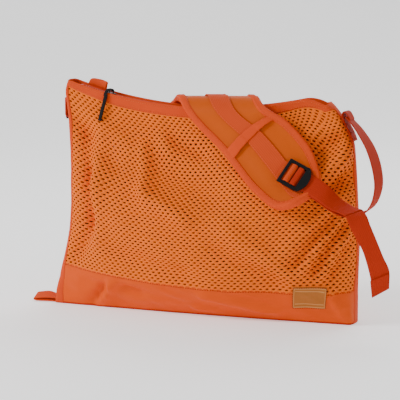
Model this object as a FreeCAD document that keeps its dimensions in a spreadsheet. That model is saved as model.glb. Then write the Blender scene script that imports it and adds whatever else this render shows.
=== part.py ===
"""A soft mesh shoulder bag with a zip top, a nylon base and a padded shoulder strap.

Frame: +X to the bag's right seen from the front, -Y towards the front, +Z up, in millimetres.
The origin is the middle of the base where it rests.
"""

import FreeCAD, Part
import Sketcher
import math
import os

from FreeCAD import Placement, Rotation, Vector

doc = FreeCAD.newDocument("mesh_bag")

# ---------------------------------------------------------------------------------------------
# Driving dimensions
# ---------------------------------------------------------------------------------------------

sizes = doc.addObject("Spreadsheet::Sheet", "sizes")

DIMENSIONS = {
    # bag body
    "base_half_width": 203.0,
    "base_half_depth": 17.0,
    "belly_half_depth": 73.0,
    "cloth_thickness": 1.6,
    "top_band_height": 17.0,
    "binding_width": 10.0,
    "base_thickness": 1.6,
    # curve of the top edge, and of the zip just below it
    "top_radius": 600.0,
    "top_low_height": 269.0,
    "top_low_x": 8.0,
    "tape_depth": 3.4,
    "tape_thickness": 1.0,
    "zip_left_x": -172.0,
    "zip_right_x": 138.0,
    "zip_rest_x": -128.0,
    # curve of the seam between mesh and base
    "seam_radius": 2600.0,
    "seam_low_height": 41.5,
    "seam_low_x": 90.0,
    # zip teeth and slider
    "tooth_pitch": 3.2,
    "tooth_length": 1.7,
    "tooth_width": 2.2,
    "tooth_height": 2.4,
    "tooth_gap": 2.8,
    "slider_length": 11.0,
    "slider_width": 9.6,
    "plate_thickness": 1.2,
    "post_width": 2.0,
    "post_length": 3.0,
    "bridge_rise": 0.8,
    "bridge_wire": 1.0,
    "bridge_length": 7.0,
    "puller_reach": 16.2,
    "puller_cord": 1.0,
    "puller_length": 39.0,
    "puller_width": 4.6,
    "puller_grip_thickness": 3.2,
    "puller_lean": 7.0,
    # webbing and pad
    "webbing_width": 25.0,
    "webbing_thickness": 1.5,
    "pad_thickness": 7.6,
    "trim_thickness": 1.5,
    "cross_band_width": 9.0,
    # ladder lock
    "lock_width": 34.0,
    "lock_rail": 4.2,
    "lock_thickness": 4.0,
    "lock_bar": 4.0,
    "lock_first_slot": 5.4,
    "lock_second_slot": 4.6,
    "lock_thumb_length": 10.0,
    "lock_outer_bar": 4.0,
    "lock_outer_slot": 4.0,
    "lock_outer_rise": 1.6,
    # left buckle
    "buckle_width": 33.0,
    "buckle_length": 22.0,
    "buckle_thickness": 3.6,
    "buckle_rail": 3.8,
    # label and corner loop
    "label_width": 42.0,
    "label_height": 29.0,
    "label_thickness": 1.4,
    "loop_width": 14.0,
}

for row, (alias, value) in enumerate(DIMENSIONS.items(), start=1):
    sizes.set(f"A{row}", alias)
    sizes.set(f"B{row}", str(value))
    sizes.setAlias(f"B{row}", alias)
doc.recompute()


def size(alias):
    """The value of one driving dimension."""
    return float(sizes.get(alias))


CLOTH = size("cloth_thickness")
GAP = 0.3  # clearance between pieces that move past each other
FAR = 1500.0  # longer than anything in the bag

parts = []


def keep(feature, label):
    """Name a finished sub-part and list it for writing."""
    feature.Label = label
    parts.append(feature)
    return feature


def solid_part(label, shape, placement=None):
    """A sub-part whose shape is worked out with Part's own functions."""
    feature = doc.addObject("Part::Feature", label)
    feature.Shape = shape
    feature.Placement = placement or Placement()
    return keep(feature, label)


# ---------------------------------------------------------------------------------------------
# The bag's closed outer form, from level sections
# ---------------------------------------------------------------------------------------------

# Each level: height, left end x, right end x, half depth at the left end, at the right end and
# in the middle. Inset from the sides and bulged in the middle, as a bag half full.
WIDE = size("base_half_width")
DEEP = size("base_half_depth")
BELLY = size("belly_half_depth")
LEVELS = [
    (0.0, -WIDE, WIDE, DEEP, DEEP, DEEP + 3.0),
    (20.0, -WIDE + 1.0, WIDE + 1.0, DEEP + 1.0, DEEP + 2.0, 0.55 * BELLY),
    (43.0, -199.0, WIDE + 2.0, DEEP + 1.0, DEEP + 5.0, 0.81 * BELLY),
    (70.0, -193.0, WIDE + 4.0, DEEP, DEEP + 8.0, 0.945 * BELLY),
    (100.0, -187.5, WIDE + 5.0, DEEP - 1.0, DEEP + 9.0, BELLY),
    (140.0, -184.5, WIDE + 3.0, DEEP - 1.5, DEEP + 8.0, 0.945 * BELLY),
    (175.0, -184.5, WIDE + 1.0, DEEP - 2.0, DEEP + 6.0, 0.77 * BELLY),
    (205.0, -185.0, WIDE - 1.0, DEEP - 3.0, DEEP + 3.0, 0.50 * BELLY),
    (228.0, -186.0, WIDE - 3.0, 13.5, DEEP, 19.5),
    (243.0, -187.0, 195.0, 13.2, 15.0, 15.2),
    (258.0, -187.5, 187.0, 13.0, 13.2, 14.0),
    (274.0, -188.0, 174.0, 12.8, 12.9, 13.6),
    (288.0, -187.5, 158.0, 12.7, 12.7, 13.4),
    (304.0, -183.0, 134.0, 12.6, 12.6, 13.2),
]


def level_wire(level, inset):
    """One level section: bowed front and rear, straight ends."""
    height, left, right, left_deep, right_deep, middle_deep = level
    left += inset
    right -= inset
    middle = (left + right) / 2
    front = Part.Arc(
        Vector(left, -left_deep + inset, height),
        Vector(middle, -middle_deep + inset, height),
        Vector(right, -right_deep + inset, height),
    ).toShape()
    rear = Part.Arc(
        Vector(right, right_deep - inset, height),
        Vector(middle, middle_deep - inset, height),
        Vector(left, left_deep - inset, height),
    ).toShape()
    right_end = Part.makeLine(front.Vertexes[1].Point, rear.Vertexes[0].Point)
    left_end = Part.makeLine(rear.Vertexes[1].Point, front.Vertexes[0].Point)
    return Part.Wire([front, right_end, rear, left_end])


def closed_form(inset):
    """The whole bag as one solid, inset from its outer surface."""
    return Part.makeLoft([level_wire(level, inset) for level in LEVELS], True, False)


def along_y(radius, x, z):
    """A long solid cylinder about an axis that runs front to rear."""
    return Part.makeCylinder(radius, FAR, Vector(x, -FAR / 2, z), Vector(0, 1, 0))


TOP_RADIUS = size("top_radius")
TOP_X = size("top_low_x")
TOP_AXIS_Z = size("top_low_height") + TOP_RADIUS
SEAM_RADIUS = size("seam_radius")
SEAM_X = size("seam_low_x")
SEAM_AXIS_Z = size("seam_low_height") + SEAM_RADIUS


def below_top_edge(depth):
    """Cylinder that holds everything higher than this depth below the top edge."""
    return along_y(TOP_RADIUS + depth, TOP_X, TOP_AXIS_Z)


def half_space(x0, x1, y0, y1, z0, z1):
    return Part.makeBox(x1 - x0, y1 - y0, z1 - z0, Vector(x0, y0, z0))


FRONT = half_space(-FAR, FAR, -FAR, 0, -FAR, FAR)
REAR = half_space(-FAR, FAR, 0, FAR, -FAR, FAR)
LEFT = half_space(-FAR, 0, -FAR, FAR, -FAR, FAR)
RIGHT = half_space(0, FAR, -FAR, FAR, -FAR, FAR)
ABOVE_SEAM = along_y(SEAM_RADIUS, SEAM_X, SEAM_AXIS_Z)
ABOVE_BASE = half_space(-FAR, FAR, -FAR, FAR, size("base_thickness"), FAR)
FLOOR_LAYER = half_space(-FAR, FAR, -FAR, FAR, 0, size("base_thickness"))


def end_slab():
    """Everything between the two side bindings, as a solid that follows the bag's ends."""
    side = size("binding_width")
    wires = []
    for height, left, right, *_ in LEVELS:
        corners = [
            Vector(left + side, -FAR / 4, height),
            Vector(right - side, -FAR / 4, height),
            Vector(right - side, FAR / 4, height),
            Vector(left + side, FAR / 4, height),
        ]
        wires.append(Part.makePolygon(corners + corners[:1]))
    return Part.makeLoft(wires, True, False)


OUTER = closed_form(0.0)
INNER = closed_form(CLOTH)
BETWEEN_BINDINGS = end_slab()
SHELL = OUTER.cut(INNER).cut(below_top_edge(0.0)).common(ABOVE_BASE)
WALLS = SHELL.common(BETWEEN_BINDINGS)
ENDS = SHELL.cut(BETWEEN_BINDINGS)


def largest_solid(shape):
    return max(shape.Solids, key=lambda solid: solid.Volume)


def make_cloth_walls():
    """Base bands, mesh panels, top bands and side bindings, cut from the bag's wall."""
    solid_part("base_panel", largest_solid(OUTER.common(FLOOR_LAYER)))
    band = size("top_band_height")
    mesh_zone = ABOVE_SEAM.cut(below_top_edge(band))
    for side, half in (("front", FRONT), ("rear", REAR)):
        wall = WALLS.common(half)
        solid_part(f"base_band_{side}", largest_solid(wall.cut(ABOVE_SEAM)))
        solid_part(f"mesh_panel_{side}", largest_solid(wall.common(mesh_zone)))
        solid_part(f"top_band_{side}", largest_solid(wall.common(below_top_edge(band))))
    solid_part("side_binding_left", largest_solid(ENDS.common(LEFT)))
    solid_part("side_binding_right", largest_solid(ENDS.common(RIGHT)))


make_cloth_walls()


# ---------------------------------------------------------------------------------------------
# Zip
# ---------------------------------------------------------------------------------------------


def zip_placement(x, depth=0.0):
    """Where the zip is at this x: the local frame's x runs along it and z is straight up from it."""
    turn = math.degrees(math.asin((TOP_X - x) / TOP_RADIUS))
    rotation = Rotation(Vector(0, 1, 0), turn)
    axis = Vector(TOP_X, 0, TOP_AXIS_Z)
    return Placement(axis + rotation.multVec(Vector(0, 0, -TOP_RADIUS - depth)), rotation)


TAPE_TOP = size("tape_depth")
TAPE_MIDDLE = TAPE_TOP + size("tape_thickness") / 2
TEETH_OUTER = size("tooth_gap") / 2 + size("tooth_width")
ZIP_LEFT = size("zip_left_x")
ZIP_RIGHT = size("zip_right_x")


def make_zip_tapes():
    """Two strips between the teeth and the bag's top bands, each side of the gap."""
    layer = below_top_edge(TAPE_TOP + size("tape_thickness")).cut(below_top_edge(TAPE_TOP))
    sheet = INNER.common(layer).common(half_space(ZIP_LEFT, ZIP_RIGHT, -FAR, FAR, -FAR, FAR))
    for side, y0, y1 in (("front", -FAR, -TEETH_OUTER), ("rear", TEETH_OUTER, FAR)):
        strip = sheet.common(half_space(-FAR, FAR, y0, y1, -FAR, FAR))
        solid_part(f"zip_tape_{side}", largest_solid(strip))


def make_zip_teeth():
    """Two rows of moulded teeth, the rear row half a pitch along from the front one."""
    length = size("tooth_length")
    width = size("tooth_width")
    height = size("tooth_height")
    pitch = size("tooth_pitch")
    margin = 6.0
    count = int((ZIP_RIGHT - ZIP_LEFT - 2 * margin) / pitch)
    near = size("tooth_gap") / 2
    for side, y0, shift in (("front", -near - width, 0.0), ("rear", near, pitch / 2)):
        teeth = []
        for number in range(count):
            x = ZIP_LEFT + margin + shift + number * pitch
            tooth = Part.makeBox(length, width, height, Vector(-length / 2, y0, -height / 2))
            tooth.Placement = zip_placement(x, TAPE_MIDDLE)
            teeth.append(tooth)
        solid_part(f"zip_teeth_{side}", Part.makeCompound(teeth))


def make_zip_stops():
    """A clamp across both tape edges at each end of the zip."""
    stops = []
    for x in (ZIP_LEFT + 2.0, ZIP_RIGHT - 2.0):
        stop = Part.makeBox(2.4, 2 * TEETH_OUTER - 0.4, 2.6, Vector(-1.2, 0.2 - TEETH_OUTER, -1.3))
        stop.Placement = zip_placement(x, TAPE_MIDDLE)
        stops.append(stop)
    solid_part("zip_stops", Part.makeCompound(stops))


def plane_of(body, role):
    return next(item for item in body.Origin.OriginFeatures if item.Role == role)


def sketch_on(body, role, name, offset=0.0):
    """A sketch on one of the body's own origin planes, moved along the plane's normal."""
    sketch = body.newObject("Sketcher::SketchObject", name)
    sketch.AttachmentSupport = [(plane_of(body, role), "")]
    sketch.MapMode = "FlatFace"
    sketch.AttachmentOffset = Placement(Vector(0, 0, offset), Rotation())
    return sketch


def add_rectangle(sketch, name, centre, width, height):
    """A rectangle about a fixed centre, its width and height bound to expressions."""
    half_w = float(sizes.evalExpression(width)) / 2
    half_h = float(sizes.evalExpression(height)) / 2
    corners = [
        centre + Vector(-half_w, -half_h, 0),
        centre + Vector(half_w, -half_h, 0),
        centre + Vector(half_w, half_h, 0),
        centre + Vector(-half_w, half_h, 0),
    ]
    first = sketch.GeometryCount
    for start, end in zip(corners, corners[1:] + corners[:1]):
        sketch.addGeometry(Part.LineSegment(start, end), False)
    for side in range(4):
        sketch.addConstraint(
            Sketcher.Constraint("Coincident", first + side, 2, first + (side + 1) % 4, 1)
        )
    for side, kind in enumerate(("Horizontal", "Vertical", "Horizontal", "Vertical")):
        sketch.addConstraint(Sketcher.Constraint(kind, first + side))
    point = sketch.addGeometry(Part.Point(centre), True)
    sketch.addConstraint(Sketcher.Constraint("DistanceX", -1, 1, point, 1, centre.x))
    sketch.addConstraint(Sketcher.Constraint("DistanceY", -1, 1, point, 1, centre.y))
    sketch.addConstraint(Sketcher.Constraint("Symmetric", first, 1, first + 2, 1, point, 1))
    wide = sketch.addConstraint(Sketcher.Constraint("DistanceX", first, 1, first, 2, 2 * half_w))
    sketch.renameConstraint(wide, name + "_width")
    tall = sketch.addConstraint(Sketcher.Constraint("DistanceY", first + 1, 1, first + 1, 2, 2 * half_h))
    sketch.renameConstraint(tall, name + "_height")
    sketch.setExpression(f"Constraints.{name}_width", width)
    sketch.setExpression(f"Constraints.{name}_height", height)


def pad(body, sketch, name, length, symmetric=False, reverse=False):
    feature = body.newObject("PartDesign::Pad", name)
    feature.Profile = sketch
    feature.setExpression("Length", length)
    feature.Midplane = symmetric
    feature.Reversed = reverse
    return feature


def pocket_through(body, sketch, name):
    feature = body.newObject("PartDesign::Pocket", name)
    feature.Profile = sketch
    feature.Type = "ThroughAll"
    feature.Midplane = True
    return feature


def round_edges(body, name, radius, chosen):
    """Fillet the edges of the body's present shape that the test picks."""
    doc.recompute()
    base = body.Tip
    edges = [f"Edge{n}" for n, edge in enumerate(base.Shape.Edges, start=1) if chosen(edge)]
    fillet = body.newObject("PartDesign::Fillet", name)
    fillet.Base = (base, edges)
    fillet.Radius = radius
    return fillet


def runs_along(direction, least=0.0):
    """Test for straight edges along a direction and longer than a given length."""

    def test(edge):
        if not isinstance(edge.Curve, (Part.Line, Part.LineSegment)) or edge.Length < least:
            return False
        along = edge.Vertexes[-1].Point - edge.Vertexes[0].Point
        return abs(along.dot(direction)) > 0.99 * along.Length

    return test


def new_body(label, placement):
    body = doc.addObject("PartDesign::Body", label)
    body.Placement = placement
    return keep(body, label)


def make_zip_slider():
    """Two plates with turned edges, joined by the post that parts the teeth, and a bridge on top."""
    body = new_body("zip_slider", zip_placement(size("zip_rest_x")))
    plate = size("plate_thickness")
    teeth_half = size("tooth_height") / 2 + GAP
    flange = 0.8
    for name, z, lift in (
        ("top", -TAPE_MIDDLE + teeth_half, -0.7),
        ("bottom", -TAPE_MIDDLE - teeth_half - plate, plate - 0.1),
    ):
        sketch = sketch_on(body, "XY_Plane", name + "_plate_outline", z)
        add_rectangle(sketch, "plate", Vector(0, 0, 0), "sizes.slider_length", "sizes.slider_width")
        pad(body, sketch, name + "_plate", "sizes.plate_thickness")
        edge_y = (size("slider_width") - flange) / 2
        for side in (-1, 1):
            edge = sketch_on(body, "XY_Plane", f"{name}_edge_outline_{side + 1}", z + lift)
            add_rectangle(edge, "edge", Vector(0, side * edge_y, 0), "sizes.slider_length", f"{flange}")
            pad(body, edge, f"{name}_edge_{side + 1}", "0.8")
    post_x = -size("slider_length") / 2 + size("post_length") / 2
    post = sketch_on(body, "XY_Plane", "post_outline", -TAPE_MIDDLE - teeth_half - 0.1)
    add_rectangle(post, "post", Vector(post_x, 0, 0), "sizes.post_length", "sizes.post_width")
    pad(body, post, "post", f"{2 * teeth_half + 0.2}")
    bridge_base = -TAPE_MIDDLE + teeth_half + plate - 0.1
    for side in (-1, 1):
        x = side * (size("bridge_length") - size("bridge_wire")) / 2
        leg = sketch_on(body, "XY_Plane", f"leg_outline_{side + 1}", bridge_base)
        add_rectangle(leg, "leg", Vector(x, 0, 0), "sizes.bridge_wire", "1.8")
        pad(body, leg, f"leg_{side + 1}", f"{size('bridge_rise') - bridge_base}")
    bar = sketch_on(body, "YZ_Plane", "bar_outline")
    add_rectangle(bar, "bar", Vector(0, size("bridge_rise"), 0), "sizes.bridge_wire", "sizes.bridge_wire")
    pad(body, bar, "bar", "sizes.bridge_length", symmetric=True)
    round_edges(body, "bar_round", 0.4, bridge_bar_edge)
    return body


def bridge_bar_edge(edge):
    """Long edges along x at the height of the slider's bridge bar, outside its legs' tops."""
    low = size("bridge_rise") - size("bridge_wire")
    return runs_along(Vector(1, 0, 0), 4.0)(edge) and edge.CenterOfMass.z > low


def make_zip_puller():
    """A thin cord looped on the bridge, bent over the front band's edge, and a long moulded grip."""
    cord = size("puller_cord")
    reach = size("puller_reach")
    rise = size("bridge_rise")
    lean = math.radians(size("puller_lean"))
    eye = Part.makeCylinder(1.5, 1.4, Vector(-0.7, 0, rise), Vector(1, 0, 0))
    eye = eye.cut(Part.makeCylinder(0.75, 1.4, Vector(-0.7, 0, rise), Vector(1, 0, 0)))
    level = GAP + cord / 2
    bend = 2.0
    run = Part.makeLine(Vector(0, -1.2, level), Vector(0, bend - reach, level))
    middle = Vector(0, bend - reach, level - bend)
    corner = Part.Arc(
        Vector(0, bend - reach, level),
        middle + Vector(0, -math.sin(math.radians(41.5)), math.cos(math.radians(41.5))) * bend,
        middle + Vector(0, -math.cos(lean), math.sin(lean)) * bend,
    ).toShape()
    down = Vector(0, -math.sin(lean), -math.cos(lean))
    bottom = corner.Vertexes[-1].Point
    stem = Part.makeLine(bottom, bottom + down * 3.0)
    path = Part.Wire([run, corner, stem])
    profile = Part.Wire(Part.makeCircle(cord / 2, Vector(0, -1.2, level), Vector(0, -1, 0)))
    cord_shape = path.makePipeShell([profile], True, True)
    width = size("puller_width")
    thick = size("puller_grip_thickness")
    length = size("puller_length") - bend - 2.0
    grip = Part.makeBox(width, thick, length, Vector(-width / 2, -thick / 2, -length))
    long_edges = [edge for edge in grip.Edges if edge.Length > length - 1]
    grip = grip.makeFillet(1.3, long_edges)
    grip.Placement = Placement(bottom + down * 2.0, Rotation(Vector(1, 0, 0), -math.degrees(lean)))
    place = zip_placement(size("zip_rest_x"))
    solid_part("zip_puller_cord", eye.fuse(cord_shape.cut(grip)), place)
    solid_part("zip_puller_grip", grip, place * grip.Placement)


def make_zip_end_tab():
    """A folded grosgrain tab that stands up at the left end of the zip, clear of the slider."""
    tab = Part.makeBox(24.0, 4.0, 12.5, Vector(-12.0, -2.0, 0.4))
    tab = tab.makeFillet(1.9, [edge for edge in tab.Edges if abs(edge.Length - 24.0) < 0.1])
    solid_part("zip_end_tab", tab, zip_placement(-154.0))


make_zip_tapes()
make_zip_teeth()
make_zip_stops()
make_zip_end_tab()
make_zip_slider()
make_zip_puller()


# ---------------------------------------------------------------------------------------------
# Shoulder strap
# ---------------------------------------------------------------------------------------------


def strip(stations, thickness, lift=0.0, ruled=False):
    """A band of cloth through pairs of edge points, thickened to both sides of its middle."""
    centres = [(left + right) * 0.5 for left, right in stations]
    wires = []
    last = len(stations) - 1
    for number, (left, right) in enumerate(stations):
        along = centres[min(number + 1, last)] - centres[max(number - 1, 0)]
        normal = (right - left).cross(along).normalize() * -1
        up = normal * (lift + thickness / 2)
        down = normal * (lift - thickness / 2)
        corners = [left + down, right + down, right + up, left + up]
        wires.append(Part.makePolygon(corners + corners[:1]))
    return Part.makeLoft(wires, True, ruled)


def between(stations, low, high):
    """The same stations narrowed to a share of their width."""
    return [(a + (b - a) * low, a + (b - a) * high) for a, b in stations]


# Edge points of the pad, left edge then right edge, from its crest over the bag's top edge.
PAD_FRONT = [
    (Vector(-34, -0.2, 278.5), Vector(72, -0.2, 280.0)),
    (Vector(-26, -13, 277.0), Vector(80, -13, 279.5)),
    (Vector(-14, -25, 265.0), Vector(90, -24.5, 271.5)),
    (Vector(8, -32, 244), Vector(103, -28.5, 264)),
    (Vector(41, -41, 216.5), Vector(124, -30, 253)),
    (Vector(80, -57, 178), Vector(152.5, -35, 224.5)),
    (Vector(105.5, -65, 159.5), Vector(167, -44, 195)),
    (Vector(123, -70, 152), Vector(167, -52, 179)),
]
PAD_REAR = [
    (Vector(-34, 0.2, 278.5), Vector(72, 0.2, 280.0)),
    (Vector(-42, 13, 277.0), Vector(64, 13, 279.5)),
    (Vector(-54, 25, 268.0), Vector(52, 25, 266.0)),
    (Vector(-72, 31, 258), Vector(26, 32, 238)),
    (Vector(-96, 36, 246), Vector(-14, 46, 208)),
    (Vector(-112, 44, 226), Vector(-44, 56, 186)),
]


def through(stations, low, high):
    """The solid between two thickness-wise levels of a strip, measured from its middle."""
    return strip(stations, high - low, (low + high) / 2)


def across(stations, share, length):
    """A thick slab that cuts a strip square across, at a share of the way along it."""
    place = share * (len(stations) - 1)
    number = int(place)
    rest = place - number
    centres = [(left + right) * 0.5 for left, right in stations]
    middle = centres[number] * (1 - rest) + centres[number + 1] * rest
    along = (centres[number + 1] - centres[number]).normalize()
    slab = Part.makeBox(300, 300, length, Vector(-150, -150, -length / 2))
    slab.Placement = Placement(middle, Rotation(Vector(0, 0, 1), along))
    return slab


BEFORE_CREST = half_space(-FAR, FAR, -FAR, 0.15, -FAR, FAR)
BEHIND_CREST = half_space(-FAR, FAR, -0.15, FAR, -FAR, FAR)


def make_pad_half(side, stations, band_share):
    """One half of the padded strap: cushion, edge binding, centre webbing and cross band."""
    half = size("pad_thickness") / 2
    trim = size("trim_thickness")
    room = strap_room() if side == "front" else BEFORE_CREST
    cushion = through(between(stations, 0.06, 0.94), -half, half)
    left_edge = through(between(stations, 0.0, 0.06), -half + 1.0, half - 1.0).cut(cushion)
    right_edge = through(between(stations, 0.94, 1.0), -half + 1.0, half - 1.0).cut(cushion)
    webbing = through(between(stations, 0.37, 0.63), half, half + trim).cut(cushion)
    cover = through(between(stations, 0.06, 0.94), half, half + 2 * trim)
    band = cover.common(across(stations, band_share, size("cross_band_width")))
    solid_part(f"pad_cushion_{side}", largest_solid(cushion.cut(room)))
    edges = [largest_solid(edge.cut(room)) for edge in (left_edge, right_edge)]
    solid_part(f"pad_binding_{side}", Part.makeCompound(edges))
    solid_part(f"pad_webbing_{side}", largest_solid(webbing.cut(room)))
    solid_part(f"cross_band_{side}", largest_solid(band.cut(cushion).cut(webbing)))


def frame_at(origin, across_direction, along_direction):
    """Local frame: x across, y along and z outward, from two directions near enough square."""
    y_axis = Vector(along_direction).normalize()
    z_axis = Vector(across_direction).cross(y_axis).normalize()
    x_axis = y_axis.cross(z_axis)
    rotation = Rotation(x_axis, y_axis, z_axis, "ZYX")
    return Placement(origin, rotation)


# The ladder lock lies on the pad's front end: its x is across the webbing and its y points
# along the pull, towards the thumb plate.
LOCK_PLACE = frame_at(Vector(133.2, -55.9, 194.0), Vector(-0.35, -0.50, -0.78), Vector(0.90, -0.06, -0.43))
BAR_HALF = size("lock_bar") / 2
FIRST_SLOT_END = size("lock_bar") + size("lock_first_slot")
MIDDLE_BAR_END = FIRST_SLOT_END + size("lock_bar")
FRAME_END = MIDDLE_BAR_END + size("lock_second_slot")
OUTER_START = -size("lock_outer_slot") - size("lock_outer_bar")


def strap_room():
    """What the pad's front half leaves free: behind the crest, the lock with its loop, the load strap."""
    lock = Part.makeBox(26.4, 36.0, 24.0, Vector(-13.2, -12.0, -2.4))
    lock.Placement = LOCK_PLACE
    thick = size("webbing_thickness") + 2 * GAP
    strap = strip(edge_stations(LOAD_PATH[:7], size("webbing_width") + 2 * GAP), thick)
    return BEHIND_CREST.fuse(lock).fuse(strap)


def make_ladder_lock():
    """Moulded frame with an outer bar, a fixed bar, a middle bar and a bowed thumb plate."""
    body = new_body("ladder_lock", LOCK_PLACE)
    outline = sketch_on(body, "XY_Plane", "frame_outline")
    add_rectangle(
        outline,
        "frame",
        Vector(0, FRAME_END / 2, 0),
        "sizes.lock_width",
        "2 * sizes.lock_bar + sizes.lock_first_slot + sizes.lock_second_slot",
    )
    pad(body, outline, "frame", "sizes.lock_thickness")
    collar = sketch_on(body, "XY_Plane", "collar_outline", size("lock_outer_rise"))
    add_rectangle(
        collar,
        "collar",
        Vector(0, (OUTER_START + 1.0) / 2, 0),
        "sizes.lock_width",
        "sizes.lock_outer_bar + sizes.lock_outer_slot + 1",
    )
    pad(body, collar, "collar", "sizes.lock_thickness - sizes.lock_outer_rise")
    slots = sketch_on(body, "XY_Plane", "slot_outlines")
    first = size("lock_bar") + size("lock_first_slot") / 2
    second = MIDDLE_BAR_END + size("lock_second_slot") / 2
    inside = "sizes.lock_width - 2 * sizes.lock_rail"
    add_rectangle(slots, "first", Vector(0, first, 0), inside, "sizes.lock_first_slot")
    add_rectangle(slots, "second", Vector(0, second, 0), inside, "sizes.lock_second_slot")
    outer = -size("lock_outer_slot") / 2
    add_rectangle(slots, "outer", Vector(0, outer, 0), inside, "sizes.lock_outer_slot")
    pocket_through(body, slots, "slots")
    round_edges(body, "bar_round", 1.0, runs_along(Vector(1, 0, 0), 20.0))
    thumb = sketch_on(body, "XY_Plane", "thumb_outline", 2.0)
    half_width = size("lock_width") / 2
    tip = FRAME_END + size("lock_thumb_length")
    corners = [Vector(-half_width, FRAME_END - 0.6, 0), Vector(half_width, FRAME_END - 0.6, 0)]
    shoulder = [Vector(half_width, FRAME_END + 3.0, 0), Vector(-half_width, FRAME_END + 3.0, 0)]
    thumb.addGeometry(Part.LineSegment(corners[0], corners[1]), False)
    thumb.addGeometry(Part.LineSegment(corners[1], shoulder[0]), False)
    thumb.addGeometry(Part.Arc(shoulder[0], Vector(0, tip, 0), shoulder[1]), False)
    thumb.addGeometry(Part.LineSegment(shoulder[1], corners[0]), False)
    pad(body, thumb, "thumb_plate", "2.8")
    round_edges(body, "thumb_round", 1.0, thumb_rim)


def thumb_rim(edge):
    """The curved far rim of the thumb plate."""
    return isinstance(edge.Curve, Part.Circle) and edge.Length > 20.0


def band_in(place, points, width):
    """Stations of a band of webbing that follows points (y, z) of a local frame."""
    half = width / 2
    return [
        (place.multVec(Vector(half, y, z)), place.multVec(Vector(-half, y, z))) for y, z in points
    ]


def arc_points(y, z, radius, start, end, steps):
    """Points (y, z) along an arc, angles in degrees from +y towards +z."""
    angles = [math.radians(start + (end - start) * n / steps) for n in range(steps + 1)]
    return [(y + radius * math.cos(a), z + radius * math.sin(a)) for a in angles]


def make_lock_webbing():
    """The pad's loop round the fixed bar, and the turn of the adjusting webbing round the middle bar."""
    width = size("webbing_width")
    thick = size("webbing_thickness")
    round_bar = BAR_HALF + 0.5 + thick / 2
    low = BAR_HALF - round_bar
    upper = low + thick + 0.15
    loop = [(-11.5, low), (-8.0, low), (-4.0, low)]
    loop += arc_points(BAR_HALF, BAR_HALF, round_bar, -90, 165, 12)
    loop += [(-1.5, 1.1), (-2.6, upper + 0.05), (-4.0, upper), (-8.0, upper), (-11.5, upper)]
    solid_part("pad_end_loop", strip(band_in(LOCK_PLACE, loop, width), thick, ruled=True))
    near = FIRST_SLOT_END - 0.2 - thick / 2
    far = MIDDLE_BAR_END + 0.2 + thick / 2
    top = size("lock_thickness") + 0.2 + thick / 2
    under = -0.2 - thick / 2
    over = under + thick + 0.3
    bend = 1.6
    turn = [(FRAME_END - 0.6, under), (FRAME_END - 4.0, under), (near + 4.0, under)]
    turn += arc_points(near + bend, under + bend, bend, -90, -180, 4)
    turn += arc_points(near + bend, top - bend, bend, 180, 90, 4)
    turn += arc_points(far - bend, top - bend, bend, 90, 0, 4)
    turn += [(far, over + 2.0), (far + 0.6, over + 0.7), (FRAME_END - 1.5, over), (FRAME_END - 0.6, over)]
    solid_part("lock_webbing", strip(band_in(LOCK_PLACE, turn, width), thick, ruled=True))


# Load strap: centre of the webbing and the direction across it, from the lock to the anchor.
LOAD_START = LOCK_PLACE.multVec(Vector(0, FRAME_END - 0.2, -0.95))
LOAD_NEXT = LOCK_PLACE.multVec(Vector(0, FRAME_END + 9.0, -1.1))
LOCK_ACROSS = LOCK_PLACE.Rotation.multVec(Vector(-1, 0, 0))
LOAD_PATH = [
    (LOAD_START, LOCK_ACROSS),
    (LOAD_NEXT, LOCK_ACROSS),
    (Vector(178, -61, 169), Vector(0.33, 0.66, 0.67)),
    (Vector(193, -64, 158), Vector(0.24, 0.85, 0.47)),
    (Vector(210, -64, 149.5), Vector(0.10, 0.96, 0.26)),
    (Vector(227, -60, 149), Vector(0, 0.99, 0.10)),
    (Vector(239, -53, 160), Vector(0, 1, 0)),
    (Vector(242.5, -42, 180), Vector(0, 1, 0)),
    (Vector(237, -30, 202), Vector(0, 1, 0)),
    (Vector(226, -18, 224), Vector(0, 1, 0)),
    (Vector(211, -8, 243), Vector(0, 1, 0)),
    (Vector(199, -2, 255), Vector(0, 1, 0)),
]


def edge_stations(path, width):
    """Edge points of a strap from its centre points and the direction across each."""
    half = width / 2
    return [
        (centre - Vector(side).normalize() * half, centre + Vector(side).normalize() * half)
        for centre, side in path
    ]


def make_load_strap():
    width = size("webbing_width")
    thick = size("webbing_thickness")
    solid_part("load_strap", strip(edge_stations(LOAD_PATH, width), thick))
    anchor_path = [
        (203.6, 212), (202.7, 220), (201.3, 229), (197.6, 240), (192.6, 250), (188.6, 258),
        (187.4, 264), (189.0, 267.6), (192.6, 266.6), (195.6, 262), (197.6, 257.6),
    ]
    solid_part("strap_anchor_right", folded_band(anchor_path, thick, 23.0))


# Free end of the webbing: front edge then rear edge, lying on the load strap up to the fold.
TAIL_START = LOCK_PLACE.multVec(Vector(0, FRAME_END - 0.2, 0.85))
TAIL_NEXT = LOCK_PLACE.multVec(Vector(0, FRAME_END + 9.0, 0.9))
TAIL_RUN = edge_stations([(TAIL_START, LOCK_ACROSS), (TAIL_NEXT, LOCK_ACROSS)], 25.0) + [
    (Vector(174.5, -72, 163.5), Vector(183.5, -55, 180.5)),
    (Vector(190.5, -76.5, 155), Vector(197.5, -55, 166.5)),
    (Vector(204, -80, 151), Vector(214, -57, 157)),
    (Vector(212, -83, 148.5), Vector(229, -66, 154.5)),
]
TAIL_END = [
    (Vector(213.0, -85.0, 147.6), Vector(231.0, -69.6, 154.6)),
    (Vector(216, -87, 142), Vector(237, -76.5, 148)),
    (Vector(219.5, -86.5, 134), Vector(242.5, -80, 138)),
    (Vector(227, -86, 121), Vector(250, -81, 122)),
    (Vector(235.5, -85, 105), Vector(259, -80.5, 101)),
    (Vector(243.5, -82.5, 82), Vector(266, -78, 83)),
    (Vector(243.5, -79, 60), Vector(266, -75, 60)),
]


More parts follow.
